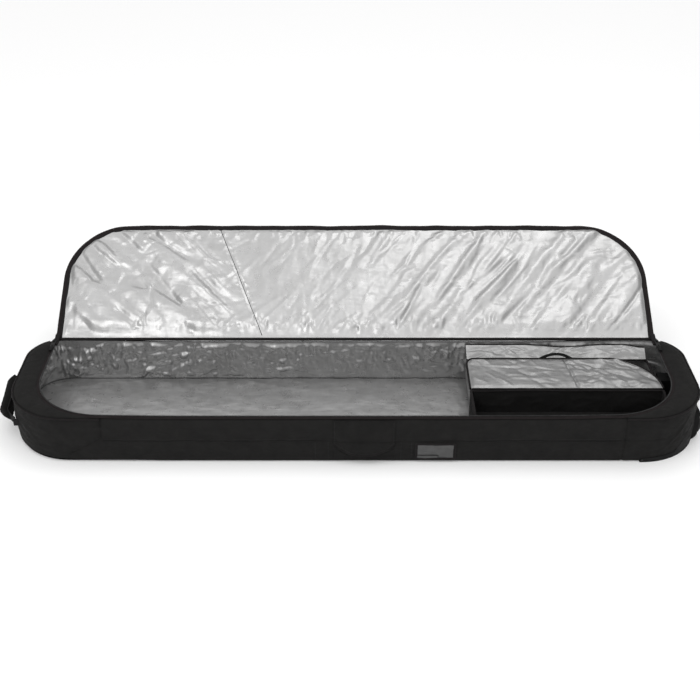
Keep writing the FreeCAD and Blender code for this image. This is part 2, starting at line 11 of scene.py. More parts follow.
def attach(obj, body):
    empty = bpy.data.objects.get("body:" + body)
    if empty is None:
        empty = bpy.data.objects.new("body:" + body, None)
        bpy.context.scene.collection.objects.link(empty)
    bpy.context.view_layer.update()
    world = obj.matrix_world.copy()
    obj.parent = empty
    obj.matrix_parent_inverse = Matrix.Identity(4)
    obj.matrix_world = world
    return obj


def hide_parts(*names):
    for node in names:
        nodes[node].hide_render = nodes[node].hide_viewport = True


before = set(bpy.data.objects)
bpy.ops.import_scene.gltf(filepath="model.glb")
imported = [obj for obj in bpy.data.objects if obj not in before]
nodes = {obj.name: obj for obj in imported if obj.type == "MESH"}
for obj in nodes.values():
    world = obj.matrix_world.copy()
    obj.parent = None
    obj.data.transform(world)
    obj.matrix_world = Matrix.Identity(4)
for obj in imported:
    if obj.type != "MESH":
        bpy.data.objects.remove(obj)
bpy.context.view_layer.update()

# ---- sizes, in metres
HALF_L, HALF_W, RIM = 0.840, 0.180, 0.127
FRONT_R, REAR_R = 0.150, 0.085
NOSE_SEAM, TAIL_SEAM = -0.604, 0.640
OPEN_A, OPEN_B, OPEN_R = 0.785, 0.172, 0.170
HINGE_Y, HINGE_Z = 0.181, 0.127
PHI = math.radians(31.0)
TAIL_ROUND, BASE_PROUD = 0.022, 0.0025
TAU = 2 * math.pi


# ---- noise and folds
def smooth(t):
    t = np.clip(t, 0, 1)
    return t * t * (3 - 2 * t)


def bump(t, width):
    return np.exp(-((t / width) ** 2))


def noise(x, y, seed):
    """Gradient noise from about -1 to 1."""
    angles = np.random.default_rng(seed).random((256, 256)) * TAU
    gx, gy = np.cos(angles), np.sin(angles)
    x, y = np.broadcast_arrays(np.asarray(x, float), np.asarray(y, float))
    ix, iy = np.floor(x).astype(int), np.floor(y).astype(int)
    fx, fy = x - ix, y - iy
    wx, wy = fx**3 * (fx * (6 * fx - 15) + 10), fy**3 * (fy * (6 * fy - 15) + 10)

    def corner(dx, dy):
        i, j = (ix + dx) % 256, (iy + dy) % 256
        return gx[i, j] * (fx - dx) + gy[i, j] * (fy - dy)

    low = corner(0, 0) * (1 - wx) + corner(1, 0) * wx
    high = corner(0, 1) * (1 - wx) + corner(1, 1) * wx
    return 1.5 * (low * (1 - wy) + high * wy)


def octaves(x, y, seed, count=3):
    return sum(noise(x * 2**k, y * 2**k, seed + k) / 2**k for k in range(count))


def ridges(x, y, seed, warp=0.5):
    """Sharp folds along wandering lines, from 0 to 1."""
    dx, dy = noise(x * 0.7, y * 0.7, seed + 11), noise(x * 0.7, y * 0.7, seed + 12)
    n = noise(x + warp * dx, y + warp * dy, seed)
    return np.clip(1 - 2.6 * np.abs(n), 0, 1) ** 2


def facets(x, y, size, seed, slant=(1.0, 1.0, 0.0)):
    """Creased foil: flat facets between random points, joined along sharp edges, -1 to 1.

    slant is (stretch along x, stretch along y, shear), which draws the facets out."""
    rng = np.random.default_rng(seed)
    sx, sy, shear = slant
    u, v = (x + shear * y) / (size * sx), y / (size * sy)
    lo_u, hi_u, lo_v, hi_v = u.min() - 1, u.max() + 1, v.min() - 1, v.max() + 1
    count = max(12, int((hi_u - lo_u) * (hi_v - lo_v)))
    pu, pv = rng.uniform(lo_u, hi_u, count), rng.uniform(lo_v, hi_v, count)
    pu[:4], pv[:4] = [lo_u, hi_u, hi_u, lo_u], [lo_v, lo_v, hi_v, hi_v]
    height = rng.uniform(-1, 1, count)
    points = [Vector((a, b)) for a, b in zip(pu, pv)]
    where, _, triangles, origin, _, _ = delaunay_2d_cdt(points, [], [], 0, 1e-6)
    out = np.zeros_like(u)
    hz = [height[o[0]] if o else 0.0 for o in origin]
    for a, b, c in triangles:
        ax, ay = where[a]
        bx, by = where[b]
        cx, cy = where[c]
        det = (bx - ax) * (cy - ay) - (cx - ax) * (by - ay)
        if abs(det) < 1e-9:
            continue
        near = (u >= min(ax, bx, cx)) & (u <= max(ax, bx, cx))
        near &= (v >= min(ay, by, cy)) & (v <= max(ay, by, cy))
        i = np.nonzero(near)
        uu, vv = u[i] - ax, v[i] - ay
        wb = (uu * (cy - ay) - (cx - ax) * vv) / det
        wc = ((bx - ax) * vv - uu * (by - ay)) / det
        inside = (wb >= -1e-9) & (wc >= -1e-9) & (wb + wc <= 1 + 1e-9)
        value = hz[a] * (1 - wb - wc) + hz[b] * wb + hz[c] * wc
        keep = tuple(k[inside] for k in i)
        out[keep] = value[inside]
    return out


def strokes(u, v, seed, count, area, angle, length, width, height):
    """Random creases: raised or sunken lines, a little bent, that fade at their ends.

    area is (u0, u1, v0, v1), angle is (mean, spread), and length and width are ranges."""
    rng = np.random.default_rng(seed)
    out = np.zeros_like(u)
    for _ in range(count):
        cu, cv = rng.uniform(*area[:2]), rng.uniform(*area[2:])
        turn = rng.normal(*angle)
        half, wide = rng.uniform(*length) / 2, rng.uniform(*width)
        tall = rng.uniform(0.4, 1.0) * height * rng.choice([-1, 1])
        bend = rng.uniform(-0.12, 0.12) / half
        reach = half + 3 * wide
        i = np.nonzero((np.abs(u - cu) < reach) & (np.abs(v - cv) < reach))
        du, dv = u[i] - cu, v[i] - cv
        along = du * math.cos(turn) + dv * math.sin(turn)
        across = dv * math.cos(turn) - du * math.sin(turn) + bend * along**2
        out[i] += tall * bump(across, wide) * smooth((half - np.abs(along)) / (0.6 * half))
    return out


def soften(a, times=1):
    """Rounds the sharpest edges of a height field."""
    for _ in range(times):
        p = np.pad(a, 1, mode="edge")
        a = (p[:-2, 1:-1] + p[2:, 1:-1] + p[1:-1, :-2] + p[1:-1, 2:] + 4 * a) / 8
    return a


# ---- meshes
def stack(*parts):
    """Arrays of coordinates as an array of points."""
    return np.stack(np.broadcast_arrays(*parts), -1)


def net(a, b):
    """Two nets of values from the values along each side."""
    return np.meshgrid(a, b, indexing="ij")


def grid(name, points, material, body, uv=None, close_u=False, close_v=False, flip=False,
         keep=None):
    """A smooth sheet through a (nu, nv, 3) array of points; uv is in metres.

    keep marks the faces that stay, and leaves holes for the others."""
    nu, nv = points.shape[:2]
    index = np.arange(nu * nv).reshape(nu, nv)
    if close_u:
        index = np.vstack([index, index[:1]])
    if close_v:
        index = np.hstack([index, index[:, :1]])
    quads = np.stack([index[:-1, :-1], index[1:, :-1], index[1:, 1:], index[:-1, 1:]], -1)
    quads = quads.reshape(-1, 4) if keep is None else quads[keep]
    if flip:
        quads = quads[:, ::-1]
    mesh = bpy.data.meshes.new(name)
    mesh.vertices.add(nu * nv)
    mesh.vertices.foreach_set("co", points.reshape(-1).astype(np.float32))
    mesh.loops.add(quads.size)
    mesh.loops.foreach_set("vertex_index", quads.reshape(-1).astype(np.int32))
    mesh.polygons.add(len(quads))
    mesh.polygons.foreach_set("loop_start", np.arange(0, quads.size, 4, dtype=np.int32))
    mesh.update(calc_edges=True)
    mesh.shade_smooth()
    if uv is None:
        uv = lengths(points)
    layer = mesh.uv_layers.new(name="UVMap")
    layer.data.foreach_set("uv", uv.reshape(-1, 2)[quads.reshape(-1)].reshape(-1).astype(np.float32))
    return place(name, mesh, material, body)


def lengths(points):
    """Lengths along both directions of a sheet, as uv."""
    du = np.linalg.norm(np.diff(points, axis=0), axis=2).mean(1)
    dv = np.linalg.norm(np.diff(points, axis=1), axis=2).mean(0)
    u = np.concatenate([[0], np.cumsum(du)])
    v = np.concatenate([[0], np.cumsum(dv)])
    return stack(*net(u, v))


def place(name, mesh, material, body):
    obj = bpy.data.objects.new(name, mesh)
    bpy.context.scene.collection.objects.link(obj)
    mesh.materials.append(material)
    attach(obj, body)
    return obj


def solid_sheet(name, top, normal, thick, material, body, flip=False):
    """A sheet with thickness: top is (nu, nv, 3), and its underside lies thick along -normal."""
    under = top - normal * thick
    loop = np.concatenate([top, under[:, ::-1]], axis=1)
    return grid(name, loop, material, body, close_v=True, flip=flip)


def merge(name, parts, material, body):
    """One mesh from many (vertices, faces) pairs."""
    verts, faces, base = [], [], 0
    for v, f in parts:
        verts.append(np.asarray(v, float))
        faces.extend(tuple(int(i) + base for i in face) for face in f)
        base += len(v)
    mesh = bpy.data.meshes.new(name)
    mesh.from_pydata(np.concatenate(verts).tolist(), [], faces)
    mesh.shade_smooth()
    return place(name, mesh, material, body)


def between(a, b, w):
    """A sheet that spans from the points a to the points b, with rows at the shares w."""
    return a[:, None] * (1 - w[None, :, None]) + b[:, None] * w[None, :, None]


def tilted(x, d, h, line, lean):
    """A point on a sheet that leans back from a line: d from that line, h above the sheet."""
    c, s = math.cos(lean), math.sin(lean)
    return stack(x, line[0] + d * c - h * s, line[1] + d * s + h * c)


def frames(path, up):
    """Side vectors for a sweep along path, perpendicular to it and to up."""
    t = np.gradient(path, axis=0)
    t /= np.linalg.norm(t, axis=1, keepdims=True)
    up = np.broadcast_to(np.asarray(up, float), path.shape)
    side = np.cross(t, up)
    side /= np.linalg.norm(side, axis=1, keepdims=True)
    return side, np.cross(side, t)


def repeated(name, path, up, block, material, body):
    """One small block, as (vertices, faces), at every point of a path."""
    side, above = frames(path, up)
    t = np.cross(above, side)
    v, f = block
    parts = [
        (p + v[:, :1] * t[i] + v[:, 1:2] * side[i] + v[:, 2:] * above[i], f)
        for i, p in enumerate(path)
    ]
    return merge(name, parts, material, body)


def sweep(name, path, section, material, body, up=(0, 0, 1), closed=False, scale=None):
    """A closed (M, 2) section swept along path, with domed ends unless the path is closed."""
    side, above = frames(path, up)
    if closed:
        t = np.roll(path, -1, 0) - np.roll(path, 1, 0)
        side = np.cross(t, np.broadcast_to(np.asarray(up, float), path.shape))
        side /= np.linalg.norm(side, axis=1, keepdims=True)
        above = np.cross(side, t / np.linalg.norm(t, axis=1, keepdims=True))
    size = np.ones(len(path)) if scale is None else scale
    if not closed:
        path, side, above = (
            np.concatenate([a[:1], a[:1], a, a[-1:], a[-1:]]) for a in (path, side, above)
        )
        size = np.concatenate([[0.02, 0.75], size, [0.75, 0.02]])
    s = section[None, :, :] * size[:, None, None]
    points = path[:, None] + side[:, None] * s[..., :1] + above[:, None] * s[..., 1:]
    return grid(name, points, material, body, close_u=closed, close_v=True)


def oval(w, h, n=14, power=1.0):
    """An oval or, with power under 1, a rounded rectangle section."""
    a = np.arange(n) * TAU / n
    c, s = np.cos(a), np.sin(a)
    x = np.sign(c) * np.abs(c) ** power * w / 2
    return stack(x, np.sign(s) * np.abs(s) ** power * h / 2)


# ---- plan curves
FRONT_X, FRONT_Y = HALF_L - FRONT_R, FRONT_R - HALF_W
REAR_X, REAR_Y = HALF_L - REAR_R, HALF_W - REAR_R
TO_SIDE = FRONT_X + FRONT_R * math.pi / 2
TO_REAR = TO_SIDE + REAR_Y - FRONT_Y
TO_BACK = TO_REAR + REAR_R * math.pi / 2
HALF_ROUND = TO_BACK + REAR_X
ROUND = 2 * HALF_ROUND


def outline(s):
    """Point and outward normal on the outer plan at length s, from the middle of the front."""
    s = np.mod(np.asarray(s, float), ROUND)
    sign = np.where(s > HALF_ROUND, -1.0, 1.0)
    s = np.where(s > HALF_ROUND, ROUND - s, s)
    x, y, nx, ny = (np.zeros_like(s) for _ in range(4))
    m = s <= FRONT_X
    x[m], y[m], ny[m] = s[m], -HALF_W, -1
    for lo, hi, cx, cy, r, turn in (
        (FRONT_X, TO_SIDE, FRONT_X, FRONT_Y, FRONT_R, -math.pi / 2),
        (TO_REAR, TO_BACK, REAR_X, REAR_Y, REAR_R, 0.0),
    ):
        m = (s > lo) & (s <= hi)
        t = (s[m] - lo) / r + turn
        nx[m], ny[m] = np.cos(t), np.sin(t)
        x[m], y[m] = cx + r * nx[m], cy + r * ny[m]
    m = (s > TO_SIDE) & (s <= TO_REAR)
    x[m], y[m], nx[m] = HALF_L, FRONT_Y + s[m] - TO_SIDE, 1
    m = s > TO_BACK
    x[m], y[m], ny[m] = REAR_X - (s[m] - TO_BACK), HALF_W, 1
    return stack(x * sign, y), stack(nx * sign, ny)


WHEEL_Y, WELL_HALF, WELL_TOP = 0.072, 0.0195, 0.079
WHEELS = [TO_SIDE + y - FRONT_Y for y in (-WHEEL_Y, WHEEL_Y)]
WELLS = [(s - WELL_HALF, s + WELL_HALF) for s in WHEELS]
REAR_TAIL, REAR_NOSE = HALF_ROUND - TAIL_SEAM, HALF_ROUND - NOSE_SEAM


def zip_curve(inset, rear, step=0.004):
    """The opening in plan, from the nose hinge end round the front to the tail hinge end."""
    a, b, r = OPEN_A - inset, OPEN_B - inset, OPEN_R - inset
    n = max(8, int(r * math.pi / 2 / step))
    t = np.linspace(0, math.pi / 2, n)
    left = np.linspace(rear, r - b, max(3, int((rear + b - r) / step)), endpoint=False)
    arc1 = stack(-a + r - r * np.cos(t), r - b - r * np.sin(t))
    front = np.linspace(-a + r, a - r, int((2 * a - 2 * r) / step))[1:-1]
    arc2 = arc1[::-1] * [-1, 1]
    return np.concatenate(
        [
            stack(np.full_like(left, -a), left),
            arc1,
            stack(front, np.full_like(front, -b)),
            arc2,
            stack(np.full_like(left, a), left[::-1]),
        ]
    )


def plan_loop(x0, x1, y0, y1, radii, step=0.005):
    """Points and outward normals round a rectangle with rounded corners x0y0, x1y0, x1y1, x0y1."""
    pts, nrm = [], []
    corners = ((x0, y0, 1, 1), (x1, y0, -1, 1), (x1, y1, -1, -1), (x0, y1, 1, -1))
    for k, ((x, y, ix, iy), r) in enumerate(zip(corners, radii)):
        t = math.pi * (1 + k / 2) + np.linspace(0, math.pi / 2, max(4, int(r * 1.57 / step)))
        n = stack(np.cos(t), np.sin(t))
        pts.append(np.array([x + ix * r, y + iy * r]) + r * n)
        nrm.append(n)
        nx, ny, jx, jy = corners[(k + 1) % 4]
        r2 = radii[(k + 1) % 4]
        a = pts[-1][-1]
        out = nrm[-1][-1]
        b = np.array([nx + jx * r2, ny + jy * r2]) + r2 * out
        m = int(np.linalg.norm(b - a) / step)
        w = np.linspace(0, 1, m + 2)[1:-1, None]
        pts.append(a * (1 - w) + b * w)
        nrm.append(np.repeat(out[None], len(w), 0))
    return np.concatenate(pts), np.concatenate(nrm)


def run_lengths(path):
    """Length along a path at each of its points."""
    return np.concatenate([[0], np.cumsum(np.linalg.norm(np.diff(path, axis=0), axis=1))])


def evenly(path, step):
    """The same path with points at even lengths."""
    path = np.asarray(path, float)
    s = run_lengths(path)
    n = max(2, int(round(s[-1] / step)) + 1)
    t = np.linspace(0, s[-1], n)
    return stack(*(np.interp(t, s, path[:, k]) for k in range(path.shape[1])))


class Paint:
    """A Principled material built from nodes."""

    def __init__(self, name, slot, rough=0.7, metal=0.0, **sockets):
        self.mat = bpy.data.materials.new(name)
        self.mat.use_nodes = True
        self.tree = self.mat.node_tree
        self.shader = self.tree.nodes["Principled BSDF"]
        self.shader.inputs["Roughness"].default_value = rough
        self.shader.inputs["Metallic"].default_value = metal
        for key, value in sockets.items():
            self.shader.inputs[key.replace("_", " ")].default_value = value
        self.height = None

    def node(self, kind, **values):
        n = self.tree.nodes.new(kind)
        for key, value in values.items():
            if key in n.inputs.keys():
                n.inputs[key].default_value = value
            else:
                setattr(n, key, value)
        return n

    def link(self, a, b):
        self.tree.links.new(a, b)

    def coords(self, uv=True, scale=(1, 1, 1), turn=0.0):
        source = self.node("ShaderNodeTexCoord").outputs["UV" if uv else "Object"]
        m = self.node("ShaderNodeMapping")
        m.inputs["Scale"].default_value = scale
        m.inputs["Rotation"].default_value = (0, 0, turn)
        self.link(source, m.inputs["Vector"])
        return m.outputs["Vector"]

    def noise(self, scale, detail=3.0, rough=0.55, uv=False, stretch=(1, 1, 1), turn=0.0):
        n = self.node("ShaderNodeTexNoise")
        n.inputs["Scale"].default_value = scale
        n.inputs["Detail"].default_value = detail
        n.inputs["Roughness"].default_value = rough
        self.link(self.coords(uv, stretch, turn), n.inputs["Vector"])
        return n.outputs["Fac"]

    def wave(self, pitch, along="X", uv=True, turn=0.0, distort=0.0):
        """Even ribs of one pitch in metres."""
        w = self.node("ShaderNodeTexWave")
        w.bands_direction = along
        w.inputs["Scale"].default_value = TAU / pitch / 20.0
        w.inputs["Distortion"].default_value = distort
        self.link(self.coords(uv, (1, 1, 1), turn), w.inputs["Vector"])
        return w.outputs["Fac"]

    def math(self, op, a, b):
        m = self.node("ShaderNodeMath")
        m.operation = op
        for i, v in enumerate((a, b)):
            if isinstance(v, (int, float)):
                m.inputs[i].default_value = v
            else:
                self.link(v, m.inputs[i])
        return m.outputs[0]

    def spread(self, fac, low, high, to_low=0.0, to_high=1.0):
        m = self.node("ShaderNodeMapRange")
        for i, v in enumerate((low, high, to_low, to_high)):
            m.inputs[i + 1].default_value = v
        self.link(fac, m.inputs[0])
        return m.outputs[0]

    def colour(self, fac, *stops):
        ramp = self.node("ShaderNodeValToRGB")
        while len(ramp.color_ramp.elements) < len(stops):
            ramp.color_ramp.elements.new(0.5)
        for e, (at, rgb) in zip(ramp.color_ramp.elements, stops):
            e.position = at
            e.color = (*rgb, 1)
        self.link(fac, ramp.inputs["Fac"])
        self.link(ramp.outputs["Color"], self.shader.inputs["Base Color"])

    def rough(self, fac, low, high):
        self.link(self.spread(fac, 0.3, 0.7, low, high), self.shader.inputs["Roughness"])

    def relief(self, fac, depth, strength=1.0):
        b = self.node("ShaderNodeBump")
        b.inputs["Distance"].default_value = depth
        b.inputs["Strength"].default_value = strength
        self.link(fac, b.inputs["Height"])
        if self.height is not None:
            self.link(self.height, b.inputs["Normal"])
        self.height = b.outputs["Normal"]
        self.link(self.height, self.shader.inputs["Normal"])


def grey(v, warm=0.0):
    return (v * (1 + warm), v, v * (1 - warm))


def make_fabric(name, slot, level, pitch=0.0011):
    p = Paint(name, slot, rough=0.78, Sheen_Weight=0.01, Sheen_Roughness=0.5)
    p.shader.inputs["Specular IOR Level"].default_value = 0.08
    p.colour(p.noise(22, 5, 0.6), (0.3, grey(level * 0.86, 0.02)), (0.72, grey(level * 1.2, 0.03)))
    weave = p.math("MULTIPLY", p.wave(pitch, "X"), p.wave(pitch, "Y"))
    p.relief(weave, 0.00022, 0.7)
    p.relief(p.noise(55, 3, 0.5), 0.0016, 0.45)
    p.relief(p.noise(900, 2, 0.5), 0.0002, 0.3)
    p.rough(p.noise(60, 3), 0.7, 0.88)
    return p.mat


def make_silver(name, slot, level, crease=1.0):
    p = Paint(name, slot, rough=0.34, metal=0.62)
    yarns = p.math("MAXIMUM", p.wave(0.0034, "X"), p.wave(0.0034, "Y"))
    tone = p.math("ADD", p.noise(14, 4, 0.6), p.spread(yarns, 0.0, 1.0, -0.12, 0.12))
    p.colour(tone, (0.25, grey(level * 0.90, 0.006)), (0.75, grey(level * 1.06, 0.002)))
    long_folds = p.noise(45, 1.5, 0.4, uv=True, stretch=(1.0, 0.4, 1), turn=0.6)
    cross_folds = p.noise(75, 1.5, 0.4, uv=True, stretch=(0.4, 1.0, 1), turn=0.25)
    p.relief(p.math("ADD", long_folds, p.math("MULTIPLY", cross_folds, 0.5)), 0.0026 * crease, 0.7)
    p.rough(p.noise(40, 4), 0.24, 0.40)
    return p.mat


def make_tape(name, slot, rgb, pitch=0.0012, rough=0.7):
    p = Paint(name, slot, rough=rough, Sheen_Weight=0.01)
    p.shader.inputs["Specular IOR Level"].default_value = 0.12
    dark = tuple(0.7 * c for c in rgb)
    p.colour(p.noise(90, 4), (0.3, dark), (0.7, rgb))
    p.relief(p.wave(pitch, "DIAGONAL"), 0.0002, 0.8)
    p.relief(p.noise(300, 3), 0.0002, 0.4)
    return p.mat


def make_hard(name, slot, low, high, rough, metal=0.0, grain=700, depth=0.0001, gloss=0.25):
    p = Paint(name, slot, rough=rough, metal=metal)
    p.shader.inputs["Specular IOR Level"].default_value = gloss
    p.colour(p.noise(45, 5), (0.3, low), (0.7, high))
    p.relief(p.noise(grain, 3), depth, 0.5)
    p.rough(p.noise(35, 4), rough * 0.85, rough * 1.2)
    return p.mat


BLACK = make_fabric("black_polyester", "outer_fabric", 0.0125)
FLAP = make_fabric("flap_polyester", "outer_fabric", 0.0120)
# A near-black copy of the outer fabric: painted shadow for the gap under the hand hold.
GAP_SHADOW = make_fabric("hand_hold_painted_shadow", "outer_fabric", 0.0025)
SILVER = make_silver("lid_tarpaulin", "silver_lining", 0.44)
# The same silver tarpaulin set darker: painted shade for the lining inside the walls, on the floor and
# in the pouch.
INNER_SHADED_SILVER = make_silver("inner_tarpaulin_painted_shade", "silver_lining", 0.33, 0.9)
EDGE = make_tape("edge_tape", "binding", (0.0115, 0.0100, 0.0102))
WEB = make_tape("webbing_weave", "webbing", (0.016, 0.0155, 0.016), 0.0022)
ZIP = make_tape("zip_tape_weave", "zip_tape", (0.0135, 0.0100, 0.0103), 0.0009)
THREAD = make_hard("sewing_thread", "binding", grey(0.014), grey(0.022), 0.6)
TEETH = make_hard("zip_coil", "zip_teeth", grey(0.02), grey(0.04), 0.4)
PLASTIC = make_hard("base_moulding", "base_plastic", grey(0.009), grey(0.014), 0.6, gloss=0.07)
METAL = make_hard("coated_metal", "hardware", grey(0.018), grey(0.035), 0.4, 0.5)
STEEL = make_hard("turned_steel", "bare_steel", grey(0.5), grey(0.62), 0.3, 1.0)
TYRE = make_hard("urethane", "wheel_tyre", grey(0.010), grey(0.017), 0.55, 0.0, 300, 0.0002)
HUB = make_hard("hub_moulding", "wheel_hub", grey(0.02), grey(0.03), 0.45)
# The same silver tarpaulin set darker still: painted shade for the boot lid and the pouch panel.
SHADED_ORGANISER_SILVER = make_silver("organiser_tarpaulin_painted_shade", "silver_lining", 0.25, 1.2)
FILM = make_hard("clear_window", "clear_film", grey(0.06), grey(0.08), 0.16, 0.0, 40, 0.0006)


# ---- outer walls
def wall_section(top_in=0.009):
    """Inset and height up the wall: rolled under at the floor, and over at the rim."""
    rb, rt = 0.008, 0.008
    t = np.linspace(-math.pi / 2, 0, 8)
    low = stack(rb - rb * np.cos(t), rb + rb * np.sin(t))
    mid_z = np.linspace(rb, RIM - rt, 46)[1:-1]
    mid = stack(np.zeros_like(mid_z), mid_z)
    t = np.linspace(0, math.pi / 2, 9)
    high = stack(rt - rt * np.cos(t), RIM - rt + rt * np.sin(t))
    start = np.array([[0.030, 0.0], [0.018, 0.0]])
    return np.concatenate([start, low, mid, high, [[top_in, RIM]]])


def sag(x):
    """The rim's slight dip between the stiff ends."""
    return -0.004 * smooth((0.72 - np.abs(x)) / 0.3)


def rim_path(xy, z):
    """A path at height z that dips with the rim."""
    return stack(xy[:, 0], xy[:, 1], z + sag(xy[:, 0]))


def groove(distance, puckers):
    """A sewn seam: a narrow valley with puckered lips."""
    lips = bump(np.abs(distance) - 0.006, 0.004) * puckers
    return 0.0010 * lips - 0.0027 * bump(distance, 0.0024)


def wall_relief(s, z):
    """How far the padded wall stands out of its plan line, with its seams."""
    lift = np.sin(np.pi * np.clip(z / RIM, 0, 1)) ** 0.8
    out = 0.0022 * lift
    out += 0.0016 * lift * octaves(s / 0.16, z / 0.09, 5)
    out += 0.0012 * lift * ridges(s / 0.11 + z / 0.05, z / 0.07 - s / 0.5, 21)
    out += 0.0010 * lift * noise(s / 0.035, z / 0.012, 31)
    out += lift * strokes(s, z, 33, 130, (-1.3, 2.5, 0.0, RIM), (1.4, 0.5), (0.04, 0.1),
                          (0.002, 0.005), 0.0010)
    along, up = noise(s / 0.011, z * 0, 41), noise(z / 0.009, s * 0, 43)
    long_front = smooth((s - NOSE_SEAM) / 0.002) * smooth((TAIL_SEAM + 0.11 - s) / 0.03)
    long_rear = smooth((s - REAR_TAIL) / 0.002) * smooth((REAR_NOSE - s) / 0.002)
    out += groove(z - 0.064, along) * np.maximum(long_front, long_rear)
    slant = s - NOSE_SEAM + np.maximum(0.073 - z, 0) * 1.5
    out += groove(slant / np.where(z < 0.073, 1.8, 1.0), up) * (z > 0.018)
    for seam in (TAIL_SEAM, REAR_TAIL, REAR_NOSE):
        out += groove(s - seam, up)
    out -= 0.0013 * bump(s - 0.398, 0.0020) * smooth((z - 0.01) / 0.02)
    fold = (s - 0.775) * 0.66 - (z - 0.068) * 0.75
    out += 0.0030 * bump(fold, 0.0035) * bump((s - 0.775) * 0.75 + (z - 0.068) * 0.66, 0.045)
    return out


def make_wall(name, stops, replaced, holes=(), top=0.0):
    """A padded wall between seams; stops are lengths round the plan that its net keeps.

    holes are (s0, s1) spans that stay open from the floor up to the height top."""
    s = [np.linspace(a, b, max(2, int((b - a) / 0.0042)))[:-1] for a, b in zip(stops, stops[1:])]
    s = np.concatenate([*s, stops[-1:]])
    sec = wall_section()
    if holes:
        sec[np.argmin(np.abs(sec[:, 1] - top)), 1] = top
    run = run_lengths(sec)
    xy, nrm = outline(s)
    S, Z = net(s, sec[:, 1])
    off = wall_relief(S, Z) - sec[None, :, 0]
    X = xy[:, 0, None] + nrm[:, 0, None] * off
    low = np.minimum(Z, TAIL_ROUND)
    end = HALF_L + BASE_PROUD - TAIL_ROUND + np.sqrt(TAIL_ROUND**2 - (TAIL_ROUND - low) ** 2)
    X = np.where((Z < TAIL_ROUND) & (X > 0.8), np.minimum(X, end - 0.0005), X)
    Y = xy[:, 1, None] + nrm[:, 1, None] * off
    lifted = 0.006 * smooth((-0.42 - xy[:, :1]) / 0.35) * (1 - smooth(Z / 0.06))
    pts = stack(X, Y, Z + lifted + sag(xy[:, :1]) * smooth(Z / RIM))
    keep = np.ones((len(s) - 1, len(run) - 1), bool)
    for s0, s1 in holes:
        middle, high = (s[1:] + s[:-1]) / 2, (sec[1:, 1] + sec[:-1, 1]) / 2
        inside = (middle > s0) & (middle < s1)
        keep &= ~(inside[:, None] & (high < top)[None, :])
    uv = stack(*net(s, run))
    wall = grid(name, pts, BLACK, "bag", uv, keep=keep)
    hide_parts(*replaced)


def make_lining():
    """The silver lining round the inside of the walls, crumpled most at the nose."""
    s = np.linspace(0, ROUND, int(ROUND / 0.0024), endpoint=False)
    z = np.linspace(0.010, RIM + 0.0005, 46)
    xy, nrm = outline(s)
    S, Z = net(s, z)
    nose = smooth((-0.20 - xy[:, :1]) / 0.35)
    hold = smooth((Z - 0.010) / 0.02) * smooth((RIM - Z) / 0.014)
    fold = 0.0050 * soften(facets(S, Z, 0.034, 61, (1.2, 1.0, 0.6)), 2) * (0.3 + 0.7 * nose)
    fold += 0.0022 * soften(facets(S, Z, 0.015, 62, (1.2, 1.0, -0.5)), 1) * (0.6 + 0.5 * nose)
    everywhere = (0, ROUND, 0.01, RIM)
    fold += strokes(S, Z, 64, 420, everywhere, (0.0, 0.28), (0.06, 0.22), (0.0035, 0.006), 0.0020)
    fold += strokes(S, Z, 65, 260, everywhere, (0.6, 0.8), (0.03, 0.10), (0.003, 0.006), 0.0022)
    hinge_side = (1.25, 2.75, 0.05, RIM)
    fold += strokes(S, Z, 66, 520, hinge_side, (1.45, 0.25), (0.02, 0.07), (0.0024, 0.005), 0.0024)
    nose_end = (2.3, 3.2, 0.01, RIM)
    fold += strokes(S, Z, 67, 260, nose_end, (-0.9, 0.5), (0.03, 0.08), (0.003, 0.005), 0.0026)
    inset = 0.0098 + hold * (0.0035 + np.maximum(fold, -0.0035))
    pts = stack(
        xy[:, 0, None] - nrm[:, 0, None] * inset,
        xy[:, 1, None] - nrm[:, 1, None] * inset,
        Z + sag(xy[:, :1]) * smooth(Z / RIM),
    )
    # The darker silver here is painted shade inside the bag.
    lining = grid("wall_lining_skin", pts, INNER_SHADED_SILVER, "bag", stack(S, Z), close_u=True, flip=True)
    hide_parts("wall_lining", "edge_strips")


def fill_plan(inset, step):
    """A net of x and y over the bag's rounded plan."""
    a, b = HALF_L - inset, HALF_W - inset
    rf, rr = FRONT_R - inset, REAR_R - inset
    t = np.linspace(0, math.pi / 2, 18)
    front, rear = -b + rf - rf * np.cos(t), b - rr + rr * np.sin(t)
    between = np.linspace(front[-1], rear[0], max(3, int((rear[0] - front[-1]) / step)))[1:-1]
    ys = np.concatenate([front, between, rear])
    half = np.full_like(ys, a)
    m = ys < rf - b
    half[m] = a - rf + np.sqrt(np.maximum(rf**2 - (ys[m] - rf + b) ** 2, 0))
    m = ys > b - rr
    half[m] = a - rr + np.sqrt(np.maximum(rr**2 - (ys[m] - b + rr) ** 2, 0))
    X = np.linspace(-1, 1, int(2 * a / step))[:, None] * half[None, :]
    return X, np.broadcast_to(ys[None, :], X.shape)


def make_floor_skins():
    """The floor's creased lining, and its plain outer fabric underneath."""
    X, Y = fill_plan(0.012, 0.009)
    Z = 0.0098 + 0.0007 * (soften(facets(X, Y, 0.05, 71, (1.3, 0.8, 0.4)), 1) + 1)
    Z += 0.0012 * ridges(X / 0.13, Y / 0.05, 72)
    # The darker silver here is painted shade inside the bag.
    floor = grid("floor_lining_skin", stack(X, Y, Z), INNER_SHADED_SILVER, "bag", stack(X, Y))
    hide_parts("floor_lining", "floor_foam")
    X, Y = fill_plan(0.006, 0.012)
    Z = 0.0006 + 0.0004 * noise(X / 0.08, Y / 0.05, 73)
    pts = stack(np.minimum(X, 0.684), Y, Z)
    under = grid("floor_skin", pts, BLACK, "bag", stack(X, Y), flip=True)
    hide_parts("floor_panel")


